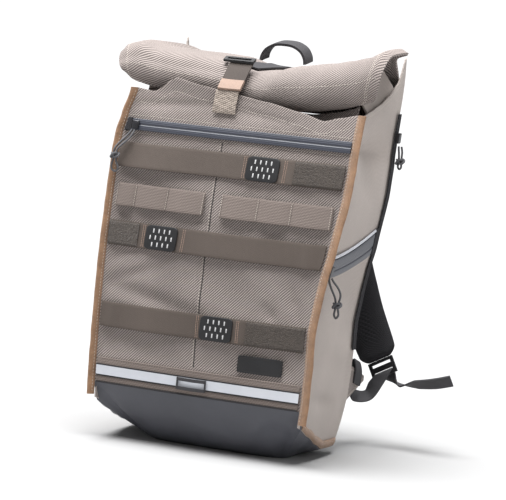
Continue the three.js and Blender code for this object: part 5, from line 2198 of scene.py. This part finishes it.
@dataclass
class Closure:
    """The closing strap over the roll, with its loop, keeper and the strap behind the hook."""

    tailor: Tailor
    form: BagForm = FORM
    width: float = 28
    middle: float = -16

    def build(self) -> None:
        """Makes the closure."""
        form, tailor = self.form, self.tailor
        low, high = form.panel_height - 16.6, form.panel_height + 9.5
        left = self.middle - self.width / 2

        def loop(u: float, v: float, lift: float) -> Vector:
            """The loop's face.

            Args:
                u: The share across.
                v: The share along.
                lift: How far out from the skin.

            Returns:
                The place in millimetres.
            """
            x = left - 2 + u * self.width
            fold = 3 * math.sin(math.pi * clamp(v, 0.02, 0.98)) ** 0.4
            lumps = noise.noise(Vector((x / 5, v * 7, 2.2))) * 0.8
            return form.front(x, lerp(low, high, v), 3 * form.gap + fold + lumps + lift)
        tailor.cloth("closure_loop_cream", "cream", loop, 36, 32, 1.6, nodes=["closure_loop"], soft_edge=0.4)
        foot = form.front(self.middle, high + 3 * form.gap, 4 * form.gap + 1.5)
        crest = form.roll(self.middle / form.roll_left, 6 / 20, form.roll_cloth / 2 + 7)
        wide = (1, 0, 0)
        length = (crest - foot).length
        start = 0.33 + form.gap / length
        end = 1 - (0.9 + form.gap) / length

        def band(name: str, finish: str, start: float, end: float, thick: float, bow: float) -> Piece:
            """Makes one length of the closing strap.

            Args:
                name: The name.
                finish: The name of the finish.
                start: Where it starts.
                end: Where it ends.
                thick: The thickness.
                bow: How far it bows out.

            Returns:
                The finished piece.
            """
            middle = foot.lerp(crest, (start + end) / 2) + Vector((0, -bow, 0))
            stations = [(foot.lerp(crest, start), wide), (middle, wide), (foot.lerp(crest, end), wide)]
            return tailor.ribbon(name, finish, stations, self.width, thick, 24,
                                 nodes=[name.rsplit("_", 1)[0]], across=10, crown=0.4)
        band("closure_band_tan", "tan", 0, 0.33, 3.2, 0.3)
        band("closure_strap_elastic", "closure elastic", start, end, 1.8, 0.5)
        self.back_strap()

    def back_strap(self) -> None:
        """The webbing that lies over the roll behind the hook."""
        form = self.form

        def skin(u: float, v: float, lift: float) -> Vector:
            """The strap's outer face.

            Args:
                u: The share across.
                v: The share along.
                lift: How far out from the skin.

            Returns:
                The place in millimetres.
            """
            share = lerp(5.6, 0.4, v) / 20
            middle = lerp(self.middle + 4, 2, min(3 * v, 1))
            x = middle + (u - 0.5) * 24
            place = form.roll(x / form.roll_right, share, form.roll_cloth / 2 + 2 * form.gap + 1.8 + lift)
            return Vector((x, place.y, place.z))
        self.tailor.cloth("closure_back_webbing", "webbing", skin, 6, 60, 1.7, nodes=["closure_back_strap"])


@dataclass
class Carry:
    """What the bag is carried by: the handle, the shoulder pads and the lower webbing."""

    tailor: Tailor
    form: BagForm = FORM
    pad_width: float = 62
    pad_end: float = 46
    pad_thick: float = 10
    pad_bow: float = 76
    webbing_width: float = 22
    handle_reach: float = 28
    handle_rise: float = 21
    handle_width: float = 24
    wing_foot: float = 58
    wing_height: float = 42
    wing_reach: float = 58

    def build(self) -> None:
        """Makes the carrying parts."""
        self.handle()
        for side in Side:
            self.pad(side)
            self.wing(side)
            self.webbing(side)

    def handle(self) -> None:
        """The grab handle of doubled webbing."""
        form = self.form
        deep = form.back_y(form.roll_seat) - 12
        seat = form.roll_seat + form.roll_height * 1.2 + form.roll_cloth / 2 + form.gap
        wide = (0, 1, form.lean)
        shape = ((-1, 0), (-0.96, 0.3), (-0.78, 0.68), (-0.42, 0.94), (0, 1), (0.42, 0.94), (0.78, 0.68),
                 (0.96, 0.3), (1, 0))
        stations = [((x * self.handle_reach, deep, seat + up * self.handle_rise), wide) for x, up in shape]
        self.tailor.ribbon("carry_handle_webbing", "webbing", stations, self.handle_width, 3, 60,
                           nodes=["carry_handle"], across=8, crown=0.3)

    def pad_frame(self, side: Side, t: float) -> tuple[Vector, Vector, Vector, Vector]:
        """A pad's middle line at a share: its place, direction, width direction and outward direction.

        Args:
            side: The side of the bag.
            t: The share of the way, from 0 to 1.

        Returns:
            The place and the three directions.
        """
        line = Spline([self.form.pad_place(row, side, self.pad_thick, self.pad_bow)
                       for row in range(len(PAD_ROUTE))])
        along = line.tangent(t)
        wide = Vector((0, 1, 0)).cross(along).normalized()
        return line.point(t), along, wide, along.cross(wide).normalized()

    def pad(self, side: Side) -> None:
        """A shoulder pad: a crowned mesh pad with a flat sewn edge.

        Args:
            side: The side of the bag.
        """
        thick = self.pad_thick

        def skin(u: float, v: float, lift: float) -> Vector:
            """The pad's face, all round.

            Args:
                u: The share across.
                v: The share along.
                lift: How far out from the skin.

            Returns:
                The place in millimetres.
            """
            place, _, wide, out = self.pad_frame(side, clamp(v, 0.002, 0.998))
            end = 1 - 0.38 * clamp((v - 0.93) / 0.07, 0, 1) ** 2
            half = lerp(self.pad_width, self.pad_end, v * v) / 2 * end
            turn = 2 * math.pi * u
            flat = math.cos(turn)
            across = math.copysign(abs(flat) ** 0.6, flat)
            rise = math.sin(turn)
            body = math.copysign(abs(rise) ** 0.7, rise) * (0.32 + 0.68 * (1 - abs(across) ** 5))
            tip = clamp(min(v, 1 - v) / 0.03, 0.35, 1)
            return place + wide * across * half + out * body * tip * (thick / 2 + lift)
        piece = self.tailor.grid(f"pad_{side.word}_mesh", 44, 90)
        self.tailor.lay(piece, skin)
        self.tailor.close_tube(piece)
        self.tailor.finish(piece, "black cloth", [f"shoulder_pad_{side.word}"], 60)

        def spine(u: float, v: float, lift: float) -> Vector:
            """The face of the webbing on the pad.

            Args:
                u: The share across.
                v: The share along.
                lift: How far out from the skin.

            Returns:
                The place in millimetres.
            """
            place, _, wide, out = self.pad_frame(side, lerp(0.14, 0.93, v))
            off = (u - 0.5) * 9
            return place + wide * off + out * (thick / 2 + 1.2 + lift - 1.1 * (2 * u - 1) ** 4)
        self.tailor.cloth(f"pad_{side.word}_webbing", "webbing", spine, 4, 70, 1.3)

    def wing_x(self, side: Side) -> float:
        """The wing tab's distance to the side."""
        return side.value * (self.form.half_width(self.wing_foot) - 3)

    def wing_tip(self, side: Side) -> Vector:
        """The wing tab's tip."""
        return Vector((self.wing_x(side), self.form.back_y(self.wing_foot) + self.wing_reach,
                       self.wing_foot + self.wing_height * 0.5))

    def wing(self, side: Side) -> None:
        """A doubled triangle of cloth that holds the webbing.

        Args:
            side: The side of the bag.
        """
        form = self.form
        tip = self.wing_tip(side)
        low, top = self.wing_foot, self.wing_foot + self.wing_height

        def skin(u: float, v: float, lift: float) -> Vector:
            """The tab's outer face.

            Args:
                u: The share across.
                v: The share along.
                lift: How far out from the skin.

            Returns:
                The place in millimetres.
            """
            foot = Vector((0, form.back_y(low) + 2 * form.gap, low)).lerp(Vector((0, tip.y, tip.z - 3)), u)
            head = Vector((0, form.back_y(top) + 2 * form.gap, top)).lerp(Vector((0, tip.y, tip.z + 3)), u)
            place = foot.lerp(head, v)
            return Vector((self.wing_x(side) + side.value * (1.5 + lift), place.y, place.z))
        self.tailor.cloth(f"wing_{side.word}_sewn", "twill", skin, 20, 16, 3,
                          nodes=[f"wing_tab_{side.word}"], sheet="stretched", soft_edge=0.5)
        for name, start, end in (("low", (0.05, 0.1), (0.9, 0.1)), ("high", (0.05, 0.9), (0.9, 0.9)),
                                 ("root", (0.08, 0.1), (0.08, 0.9)), ("cross", (0.5, 0.1), (0.5, 0.9))):
            self.tailor.stitch_line(f"wing_{side.word}_stitches_{name}", skin, start, end, steps=12,
                                    pitch=2.8)

    def webbing(self, side: Side) -> None:
        """The lower webbing: over the wing, round behind it, through the lock and out.

        Args:
            side: The side of the bag.
        """
        form = self.form
        tip = self.wing_tip(side)
        end, along, wide, out = self.pad_frame(side, 1)
        lock = end + along * (10 + form.gap)
        root = form.back_y(self.wing_foot)

        def sweep(x: float, back: float, up: float, across: tuple[float, float, float]) -> tuple:
            """A station measured from the wing.

            Args:
                x: How far out from the wing.
                back: The share of its reach.
                up: The share of its height.
                across: The width's direction.

            Returns:
                The station.
            """
            place = (tip.x + side.value * x, root + back * self.wing_reach,
                     self.wing_foot + up * self.wing_height)
            return place, (side.value * across[0], across[1], across[2])

        def past(x: float, y: float, z: float, across: tuple[float, float, float]) -> tuple:
            """A station measured from the lock."""
            return (lock + Vector((side.value * x, y, z)), (side.value * across[0], across[1], across[2]))

        def through(down: float, away: float) -> tuple:
            """A station in the lock."""
            return lock + along * down + out * away, wide * side.value
        stations = [
            sweep(2.9, 0.52, 0.4, (0, 0.96, -0.28)), sweep(3.4, 0.55, 0.8, (0, 0.95, -0.31)),
            sweep(-1, 0.58, 1.06, (0, 0.95, -0.31)), sweep(-5.6, 0.62, 0.74, (0, 0.96, -0.24)),
            sweep(-7, 0.7, 0.3, (-0.1, 0.9, 0.1)), sweep(-7, 0.86, 0.04, (-0.3, 0.75, 0.5)),
            past(-10, -15, -32, (-0.6, 0.7, 0.3)), past(-3, -10, -17, (-0.88, 0.35, -0.1)),
            through(6.4, -5), through(4.8, 0), through(6.4, 5),
        ]
        if side is Side.RIGHT:
            stations += [past(9, 6, -13, (-0.7, 0.5, -0.1)), past(20, 1, -17, (-0.5, 0.8, 0.1)),
                         past(44, 0, -14, (0, 0.85, -0.5)), past(66, 0, -10, (0, 0.8, -0.6)),
                         past(86, 0, -4, (0, 0.78, -0.62))]
        else:
            stations += [past(6, 8, -18, (-0.9, 0.2, -0.3)), past(7, 8, -42, (-1, 0.1, 0)),
                         past(6, 4, -76, (-1, 0.1, 0))]
        self.tailor.ribbon(f"lower_{side.word}_webbing", "webbing", stations, self.webbing_width, 1.8, 200,
                           nodes=[f"lower_webbing_{side.word}"], across=6)


@dataclass
class Hardware:
    """The rigid parts that keep the frame's own shape, with their finishes."""

    tailor: Tailor
    kept: tuple[tuple[str, str], ...] = (
        ("closure_hook", "rubber"), ("ladder_lock_right", "rubber"), ("ladder_lock_left", "rubber"),
    )

    def build(self, nodes: dict[str, Piece]) -> None:
        """Finishes the kept parts.

        Args:
            nodes: The frame's nodes by name.
        """
        for name, finish in self.kept:
            piece = nodes[name]
            for slot in piece.material_slots:
                slot.material = self.tailor.wardrobe.get(finish)
            LOG.info("%s keeps its shape", name)


@dataclass
class Studio:
    """The camera, the pale floor and the soft lights."""

    place: tuple[float, float, float] = (1.17615, -2.84406, 0.54728)
    right: tuple[float, float, float] = (0.91921, 0.38463, 0.08434)
    up: tuple[float, float, float] = (-0.11786, 0.06439, 0.99094)
    forward: tuple[float, float, float] = (-0.37572, 0.92082, -0.10452)
    sensor: float = 36
    focal: float = 2703.3 / 506
    far: float = 900
    floor_size: float = 600
    floor_colour: tuple[float, float, float, float] = (0.34, 0.34, 0.342, 1)
    world_light: float = 0.24

    def camera(self) -> None:
        """Sets the camera at the photograph's place."""
        data = bpy.data.cameras.new("view")
        data.lens = self.sensor * self.focal
        data.sensor_width = self.sensor
        data.clip_end = self.far
        camera = bpy.data.objects.new("view", data)
        bpy.context.collection.objects.link(camera)
        back = -Vector(self.forward)
        rows = [(self.right[i], self.up[i], back[i], self.place[i]) for i in range(3)]
        camera.matrix_world = Matrix((*rows, (0, 0, 0, 1)))
        bpy.context.scene.camera = camera

    def light(self, name: str, place: Sequence[float], target: Sequence[float], size: float, power: float,
              colour: Sequence[float] = (1, 1, 1)) -> None:
        """Adds a soft square lamp that faces a place.

        Args:
            name: The name.
            place: The place.
            target: What it faces.
            size: The size.
            power: Its power.
            colour: Its colour.
        """
        data = bpy.data.lights.new(name, "AREA")
        data.shape = "DISK"
        data.size = size
        data.energy = power
        data.color = colour
        lamp = bpy.data.objects.new(name, data)
        bpy.context.collection.objects.link(lamp)
        lamp.location = place
        lamp.rotation_euler = (Vector(target) - Vector(place)).to_track_quat("-Z", "Y").to_euler()

    def sky(self, toward: Sequence[float], angle: float, strength: float) -> None:
        """Adds the wide soft light from above, coming from a direction.

        Args:
            toward: Where it comes from.
            angle: How wide it looks, in degrees.
            strength: How strong it is.
        """
        data = bpy.data.lights.new("sky", "SUN")
        data.angle = math.radians(angle)
        data.energy = strength
        lamp = bpy.data.objects.new("sky", data)
        bpy.context.collection.objects.link(lamp)
        lamp.rotation_euler = (-Vector(toward)).to_track_quat("-Z", "Y").to_euler()

    def floor(self) -> None:
        """Adds the pale floor."""
        bpy.ops.object.select_all(action="DESELECT")
        bpy.ops.mesh.primitive_plane_add(size=self.floor_size)
        floor = bpy.context.object
        floor.name = "studio_floor"
        material = bpy.data.materials.new("studio floor")
        material.use_nodes = True
        shader = next(node for node in material.node_tree.nodes if node.type == "BSDF_PRINCIPLED")
        shader.inputs["Base Color"].default_value = self.floor_colour
        shader.inputs["Roughness"].default_value = 0.9
        floor.data.materials.append(material)

    def build(self) -> None:
        """Makes the studio."""
        self.camera()
        self.floor()
        world = bpy.data.worlds.new("studio")
        bpy.context.scene.world = world
        world.use_nodes = True
        ground = next(node for node in world.node_tree.nodes if node.type == "BACKGROUND")
        ground.inputs["Color"].default_value = (1, 1, 1, 1)
        ground.inputs["Strength"].default_value = self.world_light
        self.sky((-0.12, -0.04, 1), 50, 9.4)
        self.light("left", (-2.4, -1.8, 1.0), (-0.1, 0, 0.25), 1.2, 5)
        self.light("right", (2.6, -0.2, 1.3), (0.13, 0, 0.25), 1.2, 12)
        bpy.context.scene.view_settings.view_transform = "Standard"


def main() -> None:
    """Builds the studio and the bag in order."""
    logging.basicConfig(level=logging.INFO, format="%(name)s %(message)s")
    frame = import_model()
    Studio().build()
    tailor = Tailor(Wardrobe())
    for name, route, row in (("front", FRONT_CORD_ROUTE, 7), ("side", SIDE_CORD_ROUTE, 8),
                             ("back", BACK_CORD_ROUTE, 5)):
        Pull(tailor, name, route, row).build()
    Shell(tailor).build()
    Roll(tailor).build()
    FrontTrim(tailor).build()
    SideTrim(tailor).build()
    Closure(tailor).build()
    Carry(tailor).build()
    Hardware(tailor).build(frame["nodes"])
    LOG.info("%d pieces made", tailor.count)
    bpy.context.view_layer.update()


if __name__ == "__main__":
    main()
